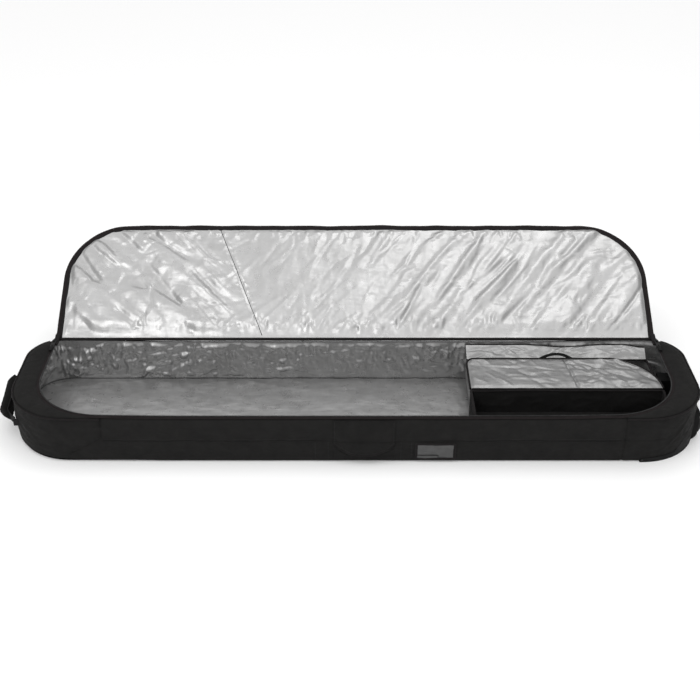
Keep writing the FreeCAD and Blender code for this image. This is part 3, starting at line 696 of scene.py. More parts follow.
# ---- top decks
def make_deck(name, side, seam):
    """The padded top panel at one end, crowned between the zip and the piping.

    It is worked out with the end at +x, and mirrored for the nose."""
    rear_y = REAR_Y + math.sqrt(REAR_R**2 - (OPEN_A - REAR_X) ** 2)
    s_end = TO_REAR + REAR_R * math.asin((rear_y - REAR_Y) / REAR_R)
    s = np.linspace(abs(seam), s_end, 230)
    xy, nrm = outline(s)
    outer = xy - nrm * 0.0015
    half = zip_curve(0.0, 0.169)
    half = half[len(half) // 2 :]
    start = int(np.argmin(np.abs(half[:, 0] - abs(seam))))
    path = evenly(half[start:], 0.002)
    path[-1] = [OPEN_A, rear_y]
    t, k = np.linspace(0, 1, len(s)), np.linspace(0, 1, len(path))
    inner = stack(*(np.interp(t, k, path[:, i]) for i in range(2)))
    w = np.linspace(0, 1, 24)
    P = between(inner, outer, w)
    width = np.linalg.norm(outer - inner, axis=1)[:, None]
    dome = np.sin(np.pi * w)[None, :]
    X, Y = P[..., 0], P[..., 1]
    fold = 0.0013 * octaves(X / 0.05, Y / 0.04, 81 + side)
    fold += 0.0011 * ridges(X / 0.06, Y / 0.05, 85 + side)
    Z = RIM - 0.0003 + dome**0.75 * np.minimum(0.0065, width * 0.16)
    Z += fold * dome**0.5 * np.minimum(1, width / 0.03) + sag(X)
    pts = stack(X * side, Y, Z)
    deck = grid(name + "_deck_skin", pts, BLACK, "bag", stack(X, Y), flip=side > 0)
    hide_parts(name + "_deck")


def make_piping():
    """The covered cords along the edges of both decks."""
    for name, side, seam in (("nose", -1, NOSE_SEAM), ("tail", 1, TAIL_SEAM)):
        s = np.linspace(abs(seam), TO_REAR + REAR_R * math.radians(60), 280)
        xy, nrm = outline(s)
        wob = 0.0004 * noise(s / 0.03, s * 0, 91)[:, None]
        p = rim_path((xy + nrm * (0.0018 + wob)) * [side, 1], RIM - 0.0022)
        sweep(name + "_piping_skin", p, oval(0.0048, 0.0048, 10), EDGE, "bag")
    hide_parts("deck_piping")


# ---- zips
def tooth(length, width, height):
    """One rounded coil link as a small eight-sided block."""
    x, y, z = length / 2, width / 2, height
    corners = ((-x, -y), (x, -y), (x, y), (-x, y))
    v = [(a, b, 0) for a, b in corners] + [(a * 0.7, b * 0.8, z) for a, b in corners]
    f = [(0, 3, 2, 1), (4, 5, 6, 7), (0, 1, 5, 4), (1, 2, 6, 5), (2, 3, 7, 6), (3, 0, 4, 7)]
    return np.array(v), f


def row_of_teeth(name, path, up, body, replaced):
    """Coil links at an even pitch along a path."""
    teeth = repeated(name, evenly(path, 0.0026), up, tooth(0.0017, 0.0036, 0.0019), TEETH, body)
    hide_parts(replaced)


def make_rim_zip():
    """The bag's side of the zip, with two rows of stitches."""
    c = zip_curve(0.0, HINGE_Y - 0.009)
    p = rim_path(c, RIM + 0.0008 + 0.0004 * noise(c[:, 0] / 0.03, c[:, 1] / 0.03, 95))
    p = evenly(p, 0.004)
    tape = sweep("rim_tape_skin", p, oval(0.0125, 0.0016, 12, 0.6), ZIP, "bag")
    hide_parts("rim_zip_tape")
    t = rim_path(zip_curve(0.0048, 0.152), RIM + 0.0014)
    row_of_teeth("rim_coil", t, (0, 0, 1), "bag", "rim_zip_teeth")
    for off, nm in ((0.0025, "a"), (-0.0045, "b")):
        q = rim_path(zip_curve(-off, 0.165), RIM + 0.0017)
        sweep("rim_stitch_" + nm, evenly(q, 0.005), oval(0.0008, 0.0006, 6), EDGE, "bag")


def make_zip_ends():
    """The folded tape ends where the zip meets the hinge."""
    for name, side in (("nose", -1), ("tail", 1)):
        y = np.linspace(0.146, 0.187, 12)
        z = RIM + 0.0022 + 0.0075 * smooth((y - 0.160) / 0.025)
        p = stack(np.full_like(y, side * 0.7795), y, z)
        sweep(f"zip_end_{name}", p, oval(0.0125, 0.0050, 12, 0.7), EDGE, "bag")


# ---- lid
def lid_at(x, d, h):
    """A point on the lid: d from the hinge line, h above its inner face."""
    return tilted(x, d, h, (HINGE_Y, HINGE_Z), PHI)


LID_UP = (0.0, -math.sin(PHI), math.cos(PHI))


def lid_rows(inset, start, step):
    """x half width for each row of the lid, with rows bunched where the corners turn."""
    a, r = OPEN_A - inset, OPEN_R - inset
    end = HINGE_Y + OPEN_B - inset
    straight = np.linspace(start, end - r, int((end - r - start) / step))
    t = np.linspace(0, math.pi / 2, int(r * 1.57 / step))[1:]
    d = np.concatenate([straight, end - r + r * np.sin(t)])
    half = np.concatenate([np.full(len(straight), a), a - r + r * np.cos(t)])
    return d, half


def lid_outline(inset, rear, step=0.004):
    c = zip_curve(inset, rear, step)
    return c[:, 0], HINGE_Y - c[:, 1]


def lid_wave(x):
    """The free edge isn't quite straight."""
    return 0.0022 * noise(x / 0.13, x * 0, 101) + 0.0012 * noise(x / 0.05, x * 0, 102)


def lid_edge(inset, rear, h):
    """A path along the lid's free edge, h above its inner face."""
    x, d = lid_outline(inset, rear)
    return lid_at(x, d + lid_wave(x) * (d > 0.3), h)


def make_lid_lining():
    """The silver lining: drawn folds at both ends, small puckers along the sewn edges."""
    d, half = lid_rows(0.0075, 0.004, 0.0031)
    X = np.linspace(-1, 1, 520)[:, None] * half[None, :]
    D = np.broadcast_to(d[None, :], X.shape)
    end = HINGE_Y + OPEN_B - 0.0075
    edge = np.minimum(half[None, :] - np.abs(X), end - D)
    hold = smooth(edge / 0.02) * smooth((D - 0.004) / 0.045)
    right = smooth((X + 0.05) / 0.35)
    left = 1 - smooth((X + 0.50) / 0.16)
    H = 0.0045 * smooth(edge / 0.05) * noise(X / 0.30, D / 0.2, 111)
    H += 0.0060 * soften(facets(X, D, 0.060, 112, (0.7, 2.6, -0.60)), 3) * (0.10 + 0.90 * right)
    H += 0.0100 * soften(facets(X, D, 0.080, 113, (1.0, 2.2, 0.75)), 4) * left
    H += 0.0030 * soften(facets(X, D, 0.026, 114, (0.8, 1.8, -0.5)), 1) * np.maximum(left, 0.5 * right)
    for seed, count, area, angle, length, width, height in (
        (116, 46, (-0.74, -0.36, 0.04, 0.33), (-0.82, 0.16), (0.14, 0.34), (0.008, 0.020), 0.0085),
        (117, 70, (-0.78, -0.30, 0.02, 0.35), (0.1, 0.25), (0.05, 0.14), (0.003, 0.005), 0.0013),
        (118, 60, (-0.35, 0.15, 0.02, 0.35), (0.85, 0.2), (0.05, 0.16), (0.004, 0.008), 0.0020),
        (119, 80, (0.05, 0.76, 0.02, 0.34), (0.92, 0.13), (0.12, 0.34), (0.006, 0.016), 0.0056),
        (120, 90, (0.05, 0.78, 0.02, 0.35), (0.30, 0.5), (0.03, 0.09), (0.004, 0.007), 0.0020),
        (121, 170, (-0.77, 0.77, 0.01, 0.05), (1.5, 0.25), (0.03, 0.09), (0.004, 0.007), 0.0030),
        (122, 150, (-0.66, 0.66, 0.31, 0.35), (1.55, 0.2), (0.02, 0.06), (0.004, 0.006), 0.0022),
    ):
        H += strokes(X, D, seed, count, area, angle, length, width, height)
    seam_x = -0.245 - 0.383 * (d - 0.010)
    seam = X - seam_x
    H -= 0.0030 * bump(seam, 0.0040)
    H += 0.0018 * bump(np.abs(seam) - 0.009, 0.005) * noise(D / 0.010, X * 0, 123)
    H = np.where(H < 0, 0.0045 * np.tanh(H / 0.0045), 0.009 * np.tanh(H / 0.009))
    H = (H + 0.0045) * hold - 0.0012
    pts = lid_at(X, D, H)
    obj = grid("lid_lining_skin", pts, SILVER, "lid", stack(X, D))
    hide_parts("lid_lining", "lid_fold_tape")
    height = [np.interp(seam_x[j], X[:, j], H[:, j]) for j in range(len(d))]
    thread = lid_at(seam_x, d, np.array(height) + 0.0003)[2:-1]
    sweep("lid_seam_thread", evenly(thread, 0.004), oval(0.0017, 0.0008, 6), THREAD, "lid", up=LID_UP)


def make_lid_cover():
    """The lid's outer face, its padded edge, and its side of the zip."""
    d, half = lid_rows(0.0085, 0.004, 0.006)
    X = np.linspace(-1, 1, 300)[:, None] * half[None, :]
    D = np.broadcast_to(d[None, :], X.shape)
    end = HINGE_Y + OPEN_B - 0.0085
    edge = np.minimum(half[None, :] - np.abs(X), end - D)
    crown = smooth(edge / 0.035)
    fold = 0.0012 * octaves(X / 0.2, D / 0.12, 121) + 0.0010 * ridges(X / 0.16, D / 0.11, 122)
    H = -0.0028 - 0.0085 * crown - crown * np.maximum(fold, -0.001)
    H += 0.0012 * bump(D - 0.085, 0.0018) + 0.0012 * bump(D - 0.265, 0.0018)
    obj = grid("lid_cover_skin", lid_at(X, D, H), BLACK, "lid", stack(X, D), flip=True)
    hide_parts("lid_panel", "lid_foam", "lid_piping")
    p = evenly(lid_edge(0.0105, HINGE_Y - 0.0005, -0.0022), 0.004)
    sweep("lid_edge_pad", p, oval(0.0095, 0.0062, 12, 0.8), EDGE, "lid", up=LID_UP)
    p = evenly(lid_edge(0.0040, HINGE_Y - 0.010, 0.0002), 0.004)
    tape = sweep("lid_tape_skin", p, oval(0.0085, 0.0016, 12, 0.6), ZIP, "lid", up=LID_UP)
    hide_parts("lid_zip_tape")
    row_of_teeth("lid_coil", lid_edge(0.0010, 0.142, -0.0010), LID_UP, "lid", "lid_zip_teeth")


def make_hinge():
    """The bound seam that the lid folds about."""
    x = np.linspace(-0.783, 0.783, 390)
    z = HINGE_Z + 0.0002 + 0.0007 * noise(x / 0.06, x * 0, 131) - 0.0012
    y = HINGE_Y - 0.0005 + 0.0006 * noise(x / 0.05, x * 0, 132)
    obj = sweep("hinge_skin", stack(x, y, z), oval(0.0092, 0.0068, 14, 0.85), EDGE, "bag")
    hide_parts("hinge_binding")


# ---- sewing
def dashes(name, path, out, body, pitch=0.0045):
    """A row of thread stitches along a path; out is the direction that they stand out in."""
    x, y, z = 0.0016, 0.0004, 0.0006
    v = np.array([(-x, -y, 0), (x, -y, 0), (x, y, 0), (-x, y, 0), (-x * 0.6, 0, z), (x * 0.6, 0, z)])
    f = [(0, 1, 5, 4), (2, 3, 4, 5), (1, 2, 5), (3, 0, 4)]
    return repeated(name, evenly(path, pitch), out, (v, f), THREAD, body)


def on_front(x, z, lift=0.0):
    """Points on the front wall, or lift in front of it."""
    x, z = np.broadcast_arrays(np.asarray(x, float), np.asarray(z, float))
    return stack(x, -HALF_W - wall_relief(x, z) - lift, z)


OUT_FRONT = (0, -1, 0)


def make_front_seam():
    """Two short rows of stitches on each side of the hand hold."""
    x = np.linspace(NOSE_SEAM + 0.01, 0.64, 500)
    for i, z in enumerate((0.0675, 0.0605)):
        for j, (a, b) in enumerate(((-0.6, -0.1), (0.25, 0.63))):
            part = x[(x > a) & (x < b)]
            dashes(f"front_stitches_{i}{j}", on_front(part, z, 0.0002), OUT_FRONT, "bag")


# ---- hand hold, patch and card window
HOLD_A, HOLD_B, HOLD_TOP = -0.054, 0.094, 0.121
ARC_LOW, ARC_HIGH = 0.026, 0.056


def arc_z(x):
    """Height of the hand hold's curved lower edge."""
    u = (x - (HOLD_A + HOLD_B) / 2) / ((HOLD_B - HOLD_A) / 2)
    return ARC_LOW + (ARC_HIGH - ARC_LOW) * np.abs(u) ** 2.1


PATCH_X0, PATCH_X1, PATCH_Z0, PATCH_Z1 = -0.100, 0.136, 0.0045, 0.061


def make_side_patch():
    """The second layer of fabric round the hand hold."""
    X, Z = net(np.linspace(PATCH_X0, PATCH_X1, 120), np.linspace(PATCH_Z0, PATCH_Z1, 34))
    edge = np.minimum(np.minimum(X - PATCH_X0, PATCH_X1 - X), np.minimum(Z - PATCH_Z0, PATCH_Z1 - Z))
    lift = 0.0014 * smooth(edge / 0.0022) - 0.0008
    puff = 0.0016 * noise(X / 0.03, Z / 0.018, 141) + 0.0010 * ridges(X / 0.03, Z / 0.02, 142)
    lift += smooth(edge / 0.01) * puff
    under = (arc_z(X) - Z) * ((X > HOLD_A) & (X < HOLD_B))
    lift -= 0.0045 * bump(under - 0.002, 0.007) * (under > -0.02)
    patch = grid("side_patch_skin", on_front(X, Z, lift), FLAP, "bag", stack(X, Z))
    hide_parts("side_patch")
    row = evenly([(-0.097, 0.058), (-0.097, 0.0075), (0.133, 0.0075), (0.133, 0.058)], 0.004)
    dashes("patch_stitches", on_front(*row.T, 0.0010), OUT_FRONT, "bag")
    for i, x in enumerate((-0.066, 0.108)):
        row = evenly([(x, 0.058), (x, 0.008)], 0.004)
        dashes(f"patch_bar_{i}", on_front(*row.T, 0.0010), OUT_FRONT, "bag")


def make_side_handle():
    """A padded flap that bows out from the wall, free along its curved lower edge."""
    U, V = net(np.linspace(0, 1, 96), np.linspace(0, 1, 46))
    X = HOLD_A + (HOLD_B - HOLD_A) * U
    Z = HOLD_TOP + (arc_z(X) - HOLD_TOP) * V
    across = np.sin(np.pi * U)
    bow = 0.0120 * across**0.7 * smooth((V - 0.12) / 0.80) ** 1.3
    puff = 0.0012 * noise(X / 0.05, Z / 0.04, 151) * across * np.sin(np.pi * np.clip(V, 0, 1))
    pinch = ridges(X / 0.012 + Z / 0.05, Z / 0.04, 152) * bump(np.minimum(U, 1 - U), 0.16) * V
    out = 0.0012 + bow + puff + 0.0012 * pinch
    roll = 0.0022 * (1 - np.sqrt(np.clip(1 - ((V - 0.94) / 0.06).clip(0, 1) ** 2, 0, 1)))
    front = on_front(X, Z, out - roll)
    thick = 0.0040 * smooth(np.minimum(U, 1 - U) / 0.03) * smooth(V / 0.08)
    back = on_front(X, Z, np.maximum(out - thick + roll * 0.6, -0.0004))
    both = np.concatenate([front, back[:, ::-1]], axis=1)
    flap = grid("side_handle_skin", both, FLAP, "bag", close_v=True)
    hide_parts("side_handle")
    x = np.linspace(HOLD_A + 0.001, HOLD_B - 0.001, 90)
    lip = 0.0012 + 0.0120 * np.sin(np.pi * (x - HOLD_A) / (HOLD_B - HOLD_A)) ** 0.7 - 0.0018
    edge = on_front(x, arc_z(x), lip)
    sweep("side_handle_edge", edge, oval(0.0046, 0.0036, 10), EDGE, "bag", up=OUT_FRONT)
    # A near-black strip just under the flap's free edge: painted shadow standing for the gap beneath
    # the hand hold.
    shade = on_front(x, arc_z(x) - 0.0046, 0.0006)
    sweep("side_handle_painted_shadow", shade, oval(0.0090, 0.0010, 8), GAP_SHADOW, "bag", up=OUT_FRONT,
          scale=0.25 + 0.75 * np.sin(np.pi * (x - HOLD_A) / (HOLD_B - HOLD_A)))
    inner = on_front(x[4:-4], arc_z(x[4:-4]) + 0.006, lip[4:-4] + 0.0021)
    dashes("side_handle_stitches", inner, OUT_FRONT, "bag")
    for i, x0 in enumerate((HOLD_A + 0.004, HOLD_B - 0.004)):
        z = np.linspace(0.060, 0.117, 40)
        dashes(f"side_handle_row_{i}", on_front(np.full(40, x0), z, 0.0035), OUT_FRONT, "bag")


def make_card_window():
    """A framed clear window with a small pocket lip."""
    x0, x1, z0, z1 = 0.141, 0.240, 0.007, 0.058
    ring, _ = plan_loop(x0 + 0.0032, x1 - 0.0032, z0 + 0.0032, z1 - 0.0032, [0.003] * 4, 0.003)
    rim = on_front(*ring.T, 0.0012)
    frame_skin = sweep(
        "card_frame_skin", rim, oval(0.0072, 0.0022, 12, 0.6), EDGE, "bag", up=OUT_FRONT, closed=True
    )
    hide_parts("card_frame")
    X, Z = net(np.linspace(x0 + 0.004, x1 - 0.004, 60), np.linspace(z0 + 0.004, z1 - 0.004, 34))
    lift = 0.0012 + 0.0006 * noise(X / 0.03, Z / 0.02, 161)
    pocket = smooth((x0 + 0.056 - X) / 0.002) * smooth((z0 + 0.014 - Z) / 0.002)
    lift = lift + 0.0007 * pocket
    film = grid("card_film_skin", on_front(X, Z, lift), FILM, "bag", stack(X, Z))
    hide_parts("card_film")
    corner_x, corner_z = x0 + 0.0565, z0 + 0.0145
    lip = evenly([(x0 + 0.005, corner_z), (corner_x, corner_z), (corner_x, z0 + 0.005)], 0.003)
    sweep("card_pocket_lip", on_front(*lip.T, 0.0022), oval(0.0016, 0.0010, 8), EDGE, "bag",
          up=OUT_FRONT)
    ring, _ = plan_loop(x0 + 0.0018, x1 - 0.0018, z0 + 0.0018, z1 - 0.0018, [0.003] * 4, 0.003)
    dashes("card_stitches", on_front(*ring.T, 0.0020), OUT_FRONT, "bag")


# ---- end handles
def make_end_handle(name, side, half_span, bulge, width, middle, turn, lean, cover):
    """A webbing loop with a padded sleeve round its middle.

    The sleeve's lower edge leans out by lean degrees, and it covers that share of the loop."""
    middle, turn = np.array(middle), math.radians(turn)
    fold = abs(middle[0])

    def settle(p):
        p = p + [0, middle[1], 0]
        q = p - middle
        c, sn = math.cos(turn), math.sin(turn)
        return stack(q[:, 0] * c - q[:, 1] * sn, q[:, 0] * sn + q[:, 1] * c, q[:, 2]) + middle

    w = np.linspace(-1, 1, 90)
    reach = fold + bulge * np.clip(1.35 * (1 - np.abs(w) ** 2.6), 0, 1) + 0.0012
    sagging = -0.006 * (1 - w**2)
    loop = stack(side * reach, half_span * w, middle[2] + sagging)
    strap = sweep(f"{name}_handle_loop", settle(loop), oval(0.0026, 0.0215, 12, 0.45), WEB,
                  f"{name}_handle", up=(0, 0, 1))
    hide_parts(f"{name}_handle_strap")
    k = np.abs(w) < cover
    tube = loop[k] + [side * 0.0045, 0, 0]
    m = len(tube)
    flat = oval(0.0115, width, 26, 0.62)
    tilt = math.radians(lean)
    section = flat @ np.array([[math.cos(tilt), math.sin(tilt)], [-math.sin(tilt), math.cos(tilt)]])
    path = settle(tube)
    fat = 1 - 0.10 * np.abs(np.linspace(-1, 1, m)) ** 6
    fat *= 1 + 0.02 * noise(np.linspace(0, 9, m), np.zeros(m), 171)
    grip = sweep(f"{name}_handle_sleeve", path, section, BLACK, f"{name}_handle", scale=fat)
    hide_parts(f"{name}_handle_grip")
    anchors = []
    for i, y in enumerate((-half_span - 0.0075, half_span + 0.0075)):
        ends = [[side * (fold + x), y, middle[2]] for x in (-0.030, 0.004)]
        line = settle(evenly(ends, 0.004))
        anchors.append(sweep(f"{name}_anchor_{i}", line, oval(0.0085, 0.018, 12, 0.5), WEB, "bag"))
    return anchors


NOSE_HANDLE = (-1, 0.104, 0.024, 0.037, (-0.8375, -0.004, 0.070), 6.1, 42, 0.80)
TAIL_HANDLE = (1, 0.062, 0.005, 0.028, (0.849, 0.036, 0.088), 0.0, 25, 0.70)


# ---- organisers
def make_tray(name, loop, nrm, top, outer, inner, seed, node, slump):
    """An open padded bag: outer and inner walls, a floor and a bound rim."""
    low, thick = 0.034, 0.0045
    run = np.arange(len(loop)) * 0.005
    z = np.linspace(low, top, 22)
    R, Z = net(run, z)
    lift = np.sin(np.pi * (Z - low) / (top - low)) ** 0.7
    wave = 0.0030 * noise(R / 0.09, Z / 0.08, seed) * lift
    wave += 0.0016 * ridges(R / 0.05, Z / 0.04, seed + 1) * lift
    dip = -slump * (0.5 + 0.5 * noise(run / 0.12, run * 0, seed + 2))[:, None]
    drop = dip * smooth((Z - low) / (top - low))

    def face(inset, extra):
        off = (wave * extra - inset)[..., None]
        xy = loop[:, None] + nrm[:, None] * off
        return np.concatenate([xy, (Z + drop)[..., None]], -1)

    uv = stack(R, Z)
    shell = grid(f"{name}_outside", face(0.0004, 0.35), outer, "bag", uv, close_u=True)
    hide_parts(node)
    inside = grid(f"{name}_inside", face(thick, -1.0), inner, "bag", uv, close_u=True, flip=True)
    centre = (loop.max(axis=0) + loop.min(axis=0)) / 2
    w = np.linspace(1, 0.02, 14)
    foot = loop - nrm * 0.0035
    P = centre + (foot - centre)[:, None] * w[None, :, None]
    bed = low + 0.0042 + 0.0012 * noise(P[..., 0] / 0.06, P[..., 1] / 0.04, seed + 3)
    base = grid(f"{name}_floor", np.concatenate([P, bed[..., None]], -1), inner, "bag",
                P, close_u=True)
    rim = np.concatenate([loop - nrm * (thick / 2), top + dip + 0.0006], 1)
    sweep(f"{name}_binding", rim, oval(0.0068, 0.0048, 12, 0.8), EDGE, "bag", closed=True)


def make_pouch_panel():
    """The silver panel that leans over the back of the pouch."""
    X, V = net(np.linspace(0.289, 0.753, 190), np.linspace(0, 1, 26))
    hang = 0.006 * smooth((X - 0.44) / 0.10) * smooth((0.66 - X) / 0.12)
    end = 1 - smooth((X - 0.70) / 0.045) * 0.3
    Y = 0.1215 + V * (0.0435 * end - 0.4 * hang)
    Z = 0.0995 + V * 0.0200 - hang * V**2
    Z += 0.0020 * soften(facets(X, V * 0.05, 0.030, 201, (1.6, 0.7, 0.6)), 1) * np.sin(np.pi * V)
    Z += strokes(X, V * 0.05, 202, 60, (0.28, 0.74, 0, 0.05), (0.15, 0.4), (0.03, 0.12),
                 (0.003, 0.006), 0.0018) * smooth(V / 0.2) * smooth((1 - V) / 0.2)
    pts = stack(X, Y, Z)
    # The panel's darker silver is painted shade.
    panel = solid_sheet("pouch_panel_skin", pts, np.array([0, -0.4, 0.9]), 0.0030, SHADED_ORGANISER_SILVER, "bag")
    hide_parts("pouch_back_panel")
    for i, row in enumerate((0, -1)):
        edge = pts[:, row] - [0, 0, 0.001]
        sweep(f"pouch_panel_edge_{i}", edge, oval(0.0046, 0.0046, 10), EDGE, "bag")


# ---- the boot bag's lid
LEAN = math.radians(3)
FOLD_Y, FOLD_Z = -0.022, 0.1055


def boot_lid_at(x, d, h):
    """A point on the open boot lid: d back from its fold, h above its upper face."""
    return tilted(x, d, h, (FOLD_Y, FOLD_Z), LEAN)


BOOT_UP = (0.0, -math.sin(LEAN), math.cos(LEAN))
BOOT_X0, BOOT_X1 = 0.285, 0.765


def boot_lid_sides(d, inset):
    """The lid's x range at distances d from the fold."""
    far, r0, r1 = 0.132 - inset, 0.024 - inset, 0.1275 - inset
    into0, into1 = np.maximum(d - far + r0, 0), np.maximum(d - far + r1, 0)
    x0 = BOOT_X0 + inset + r0 - np.sqrt(np.maximum(r0**2 - into0**2, 0))
    x1 = BOOT_X1 - inset - r1 + np.sqrt(np.maximum(r1**2 - into1**2, 0))
    return x0, x1


def make_boot_lid():
    """The boot bag's flap, silver above and black below."""
    far = 0.1305
    d = 0.003 + (far - 0.003) * np.sin(np.linspace(0, math.pi / 2, 52))
    x0, x1 = boot_lid_sides(d, 0.0015)
    U = np.linspace(0, 1, 230)[:, None]
    X = x0 + (x1 - x0) * U
    D = np.broadcast_to(d, X.shape)
    edge = np.minimum(np.minimum(X - x0, x1 - X), np.minimum(far - D, D - 0.003))
    hold = smooth(edge / 0.012)
    tail = smooth((X - 0.53) / 0.05)
    H = 0.0035 * soften(facets(X, D, 0.040, 211, (1.6, 0.8, 0.7)), 2) * (0.35 + 0.9 * tail)
    H += 0.0014 * soften(facets(X, D, 0.018, 212, (1.2, 0.9, 0.5)), 1) * (0.3 + 0.9 * tail)
    whole, tail_end = (0.26, 0.76, 0, 0.13), (0.55, 0.76, 0, 0.13)
    H += strokes(X, D, 213, 60, whole, (-0.5, 0.35), (0.03, 0.10), (0.003, 0.007), 0.0022)
    H += strokes(X, D, 214, 50, tail_end, (-0.35, 0.4), (0.03, 0.10), (0.003, 0.006), 0.0026)
    H -= 0.0035 * bump(X - 0.556 + 0.15 * D, 0.004)
    H = 0.0025 * hold + H * hold - 0.0015
    top = boot_lid_at(X, D, H)
    # The lid's darker silver is painted shade.
    lid = grid("boot_lid_top", top, SHADED_ORGANISER_SILVER, "boot_lid", stack(X, D))
    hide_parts("boot_lid")
    under = boot_lid_at(X, D, -0.0050 - 0.0020 * smooth(edge / 0.02))
    grid("boot_lid_under", under, BLACK, "boot_lid", stack(X, D), flip=True)
    a, b = boot_lid_sides(d, 0.0)
    ring = np.concatenate([stack(a, d), stack(b, d)[::-1]])
    path = evenly(boot_lid_at(ring[:, 0], ring[:, 1], -0.0028), 0.004)
    sweep("boot_lid_edge", path, oval(0.0052, 0.0074, 12, 0.8), EDGE, "boot_lid", up=BOOT_UP)
    x = np.linspace(0.290, 0.760, 150)
    y = FOLD_Y + 0.0004 * noise(x / 0.03, x * 0, 215)
    hem = stack(x, y, np.full_like(x, FOLD_Z - 0.0008))
    tape = sweep("boot_lid_hinge_tape", hem, oval(0.0058, 0.0040, 12), EDGE, "bag")
    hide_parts("boot_lid_binding")


ARCH_X, ARCH_REACH = 0.517, 0.1341


def make_boot_handle():
    """An arched carry handle of folded webbing."""
    t = np.linspace(0, 1, 60)
    w = np.linspace(0, 1, 8)
    up = 1 - (2 * t - 1) ** 2
    y, z = FOLD_Y + ARCH_REACH * math.cos(LEAN), FOLD_Z + ARCH_REACH * math.sin(LEAN)
    outer = stack(ARCH_X - 0.046 + 0.092 * t, -0.004 + 0.0175 * up)
    inner = stack(ARCH_X - 0.031 + 0.062 * t, -0.0035 + 0.0105 * up)
    P = between(outer, inner, w)
    Y = y - 0.0013 + 0.0006 * np.sin(np.pi * w)[None, :]
    front = stack(P[..., 0], Y, z + P[..., 1])
    out = np.array([0, -1.0, 0])
    arch = solid_sheet("boot_lid_arch", front, out, 0.0028, WEB, "boot_lid", flip=True)
    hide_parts("boot_lid_handle")


def make_tabs():
    """Short straps that hold the organisers to the walls and to each other."""
    v, w = np.linspace(0, 1, 10), np.linspace(-0.012, 0.012, 8)
    first = None
    for i, x in enumerate((0.310, 0.430, 0.550, 0.670)):
        spans = [(0.1635, 0.1690), (-0.169, -0.1495) if x < TAIL_SEAM else (-0.0225, -0.0135)]
        for j, (y0, y1) in enumerate(spans):
            Y, X = net(y0 + (y1 - y0) * v, x + w)
            Z = 0.087 - 0.003 * np.sin(np.pi * (Y - y0) / (y1 - y0))
            tab = solid_sheet(f"tab_{i}{j}", stack(X, Y, Z), np.array([0, 0, 1.0]), 0.0016,
                              WEB, "bag")
            first = first or tab
    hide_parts("organiser_tabs")


# ---- stage
def make_stage():
    """The floor, soft light and camera."""
    bpy.ops.mesh.primitive_plane_add(size=60, location=(0, 0, -0.0002))
    floor = bpy.context.object
    floor.name = "studio_floor"
    p = Paint("studio_white", "", rough=0.9)
    p.colour(p.noise(0.4), (0.3, grey(0.90)), (0.7, grey(0.905)))
    p.shader.inputs["Emission Color"].default_value = (1, 1, 1, 1)
    p.shader.inputs["Emission Strength"].default_value = 0.08
    floor.data.materials.append(p.mat)
    world = bpy.data.worlds.new("studio")
    bpy.context.scene.world = world
    world.use_nodes = True
    tree = world.node_tree
    back = tree.nodes["Background"]
    coord = tree.nodes.new("ShaderNodeTexCoord")
    split = tree.nodes.new("ShaderNodeSeparateXYZ")
    ramp = tree.nodes.new("ShaderNodeValToRGB")
    tree.links.new(coord.outputs["Generated"], split.inputs[0])
    tree.links.new(split.outputs["Z"], ramp.inputs["Fac"])
    fill = tree.nodes.new("ShaderNodeMapRange")
    for i, value in enumerate((-1.0, 0.2, 1.0, 0.0)):
        fill.inputs[i + 1].default_value = value
    tree.links.new(split.outputs["Y"], fill.inputs[0])
    total = tree.nodes.new("ShaderNodeMath")
    total.operation = "MULTIPLY_ADD"
    tree.links.new(fill.outputs[0], total.inputs[0])
    total.inputs[1].default_value = 0.45
    tree.links.new(ramp.outputs["Color"], total.inputs[2])
    tree.links.new(total.outputs[0], back.inputs["Strength"])
    for at, level in ((0.0, 0.30), (0.55, 0.42), (0.75, 1.3), (1.0, 2.3)):
        stop = ramp.color_ramp.elements.new(at)
        stop.color = (level, level, level * 1.01, 1)
    for spare in [e for e in ramp.color_ramp.elements if e.color[0] in (0.0, 1.0)]:
        ramp.color_ramp.elements.remove(spare)
    back.inputs["Color"].default_value = (1, 1, 1, 1)
    for name, at, aim, size, power in (
        ("key", (-1.2, -1.2, 2.6), (0, 0, 0), 1.6, 16),
        ("top", (0.7, 0.6, 2.8), (0, 0.1, 0), 1.4, 10),
    ):
        light = bpy.data.lights.new(name, "AREA")
        light.size = size
        light.energy = power
        obj = bpy.data.objects.new(name, light)
        obj.location = at
        obj.rotation_euler = (Vector(aim) - Vector(at)).to_track_quat("-Z", "Y").to_euler()
        bpy.context.scene.collection.objects.link(obj)
    cam = bpy.data.cameras.new("camera")
    cam.lens, cam.sensor_width = 57.3, 36
    obj = bpy.data.objects.new("camera", cam)
    obj.location = (-0.0138, -2.3185, 1.6455)
    obj.rotation_euler = (math.radians(58.14), 0, 0)
    bpy.context.scene.collection.objects.link(obj)
    bpy.context.scene.camera = obj
    bpy.context.scene.view_settings.view_transform = "Standard"


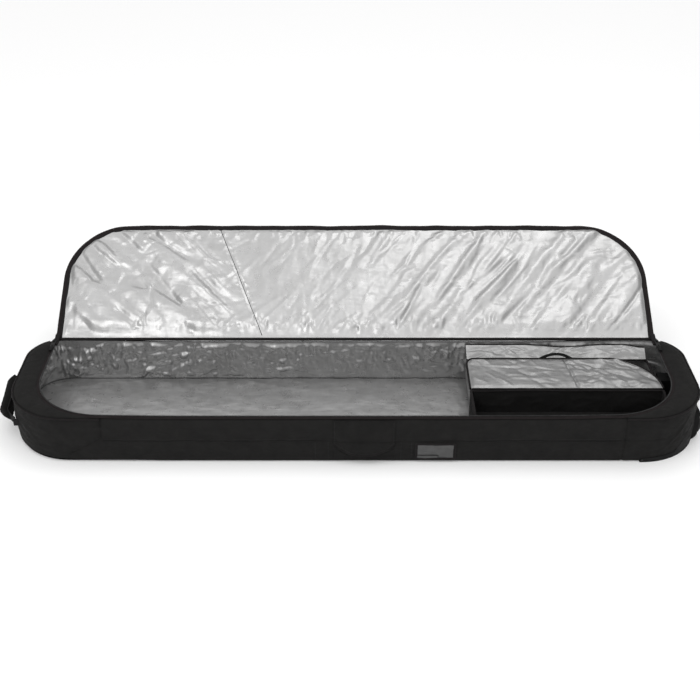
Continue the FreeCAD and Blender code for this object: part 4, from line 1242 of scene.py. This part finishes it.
# ---- build everything
make_wall("front_skin", [NOSE_SEAM, TAIL_SEAM], ["front_panel", "front_wall_foam"])
make_wall(
    "tail_skin",
    [TAIL_SEAM, *WELLS[0], *WELLS[1], REAR_TAIL],
    ["tail_panel", "tail_wall_foam"],
    WELLS,
    WELL_TOP,
)
make_wall("rear_skin", [REAR_TAIL, REAR_NOSE], ["rear_panel", "rear_wall_foam"])
make_wall("nose_skin", [REAR_NOSE - ROUND, NOSE_SEAM], ["nose_panel", "nose_wall_foam"])
make_lining()
make_floor_skins()
make_deck("nose", -1, NOSE_SEAM)
make_deck("tail", 1, TAIL_SEAM)
make_piping()
make_rim_zip()
make_zip_ends()
make_lid_lining()
make_lid_cover()
make_hinge()
make_front_seam()
make_side_patch()
make_side_handle()
make_card_window()
anchors = make_end_handle("nose", *NOSE_HANDLE)
make_end_handle("tail", *TAIL_HANDLE)
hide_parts("handle_anchors")
boot_loop, boot_nrm = plan_loop(0.284, 0.766, -0.150, -0.022, [0.024, 0.118, 0.005, 0.005])
make_tray("boot_bag", boot_loop, boot_nrm, 0.1025, BLACK, BLACK, 181, "boot_bag", 0.004)
pouch_loop, pouch_nrm = plan_loop(0.290, 0.761, -0.014, 0.164, [0.010, 0.010, 0.060, 0.024])
# The pouch uses the darker silver, painted shade inside the bag.
make_tray("pouch", pouch_loop, pouch_nrm, 0.0940, INNER_SHADED_SILVER, INNER_SHADED_SILVER, 191, "clothing_pouch", 0.003)
make_pouch_panel()
make_boot_lid()
make_boot_handle()
make_tabs()
make_stage()

PAINTS = {
    "zip_sliders": METAL, "nose_pull_tab": METAL, "tail_pull_tab": METAL,
    "nose_pull_grip": PLASTIC, "tail_pull_grip": PLASTIC, "tail_base_plate": PLASTIC,
    "tail_base_lip": PLASTIC, "base_rivets": METAL, "wheel_housings": PLASTIC,
    "wheel_axles": STEEL, "front_tyre": TYRE, "rear_tyre": TYRE, "front_hub": HUB,
    "rear_hub": HUB, "front_bearings": STEEL, "rear_bearings": STEEL,
}
for node, paint in PAINTS.items():
    mesh = nodes[node].data
    mesh.materials.clear()
    mesh.materials.append(paint)
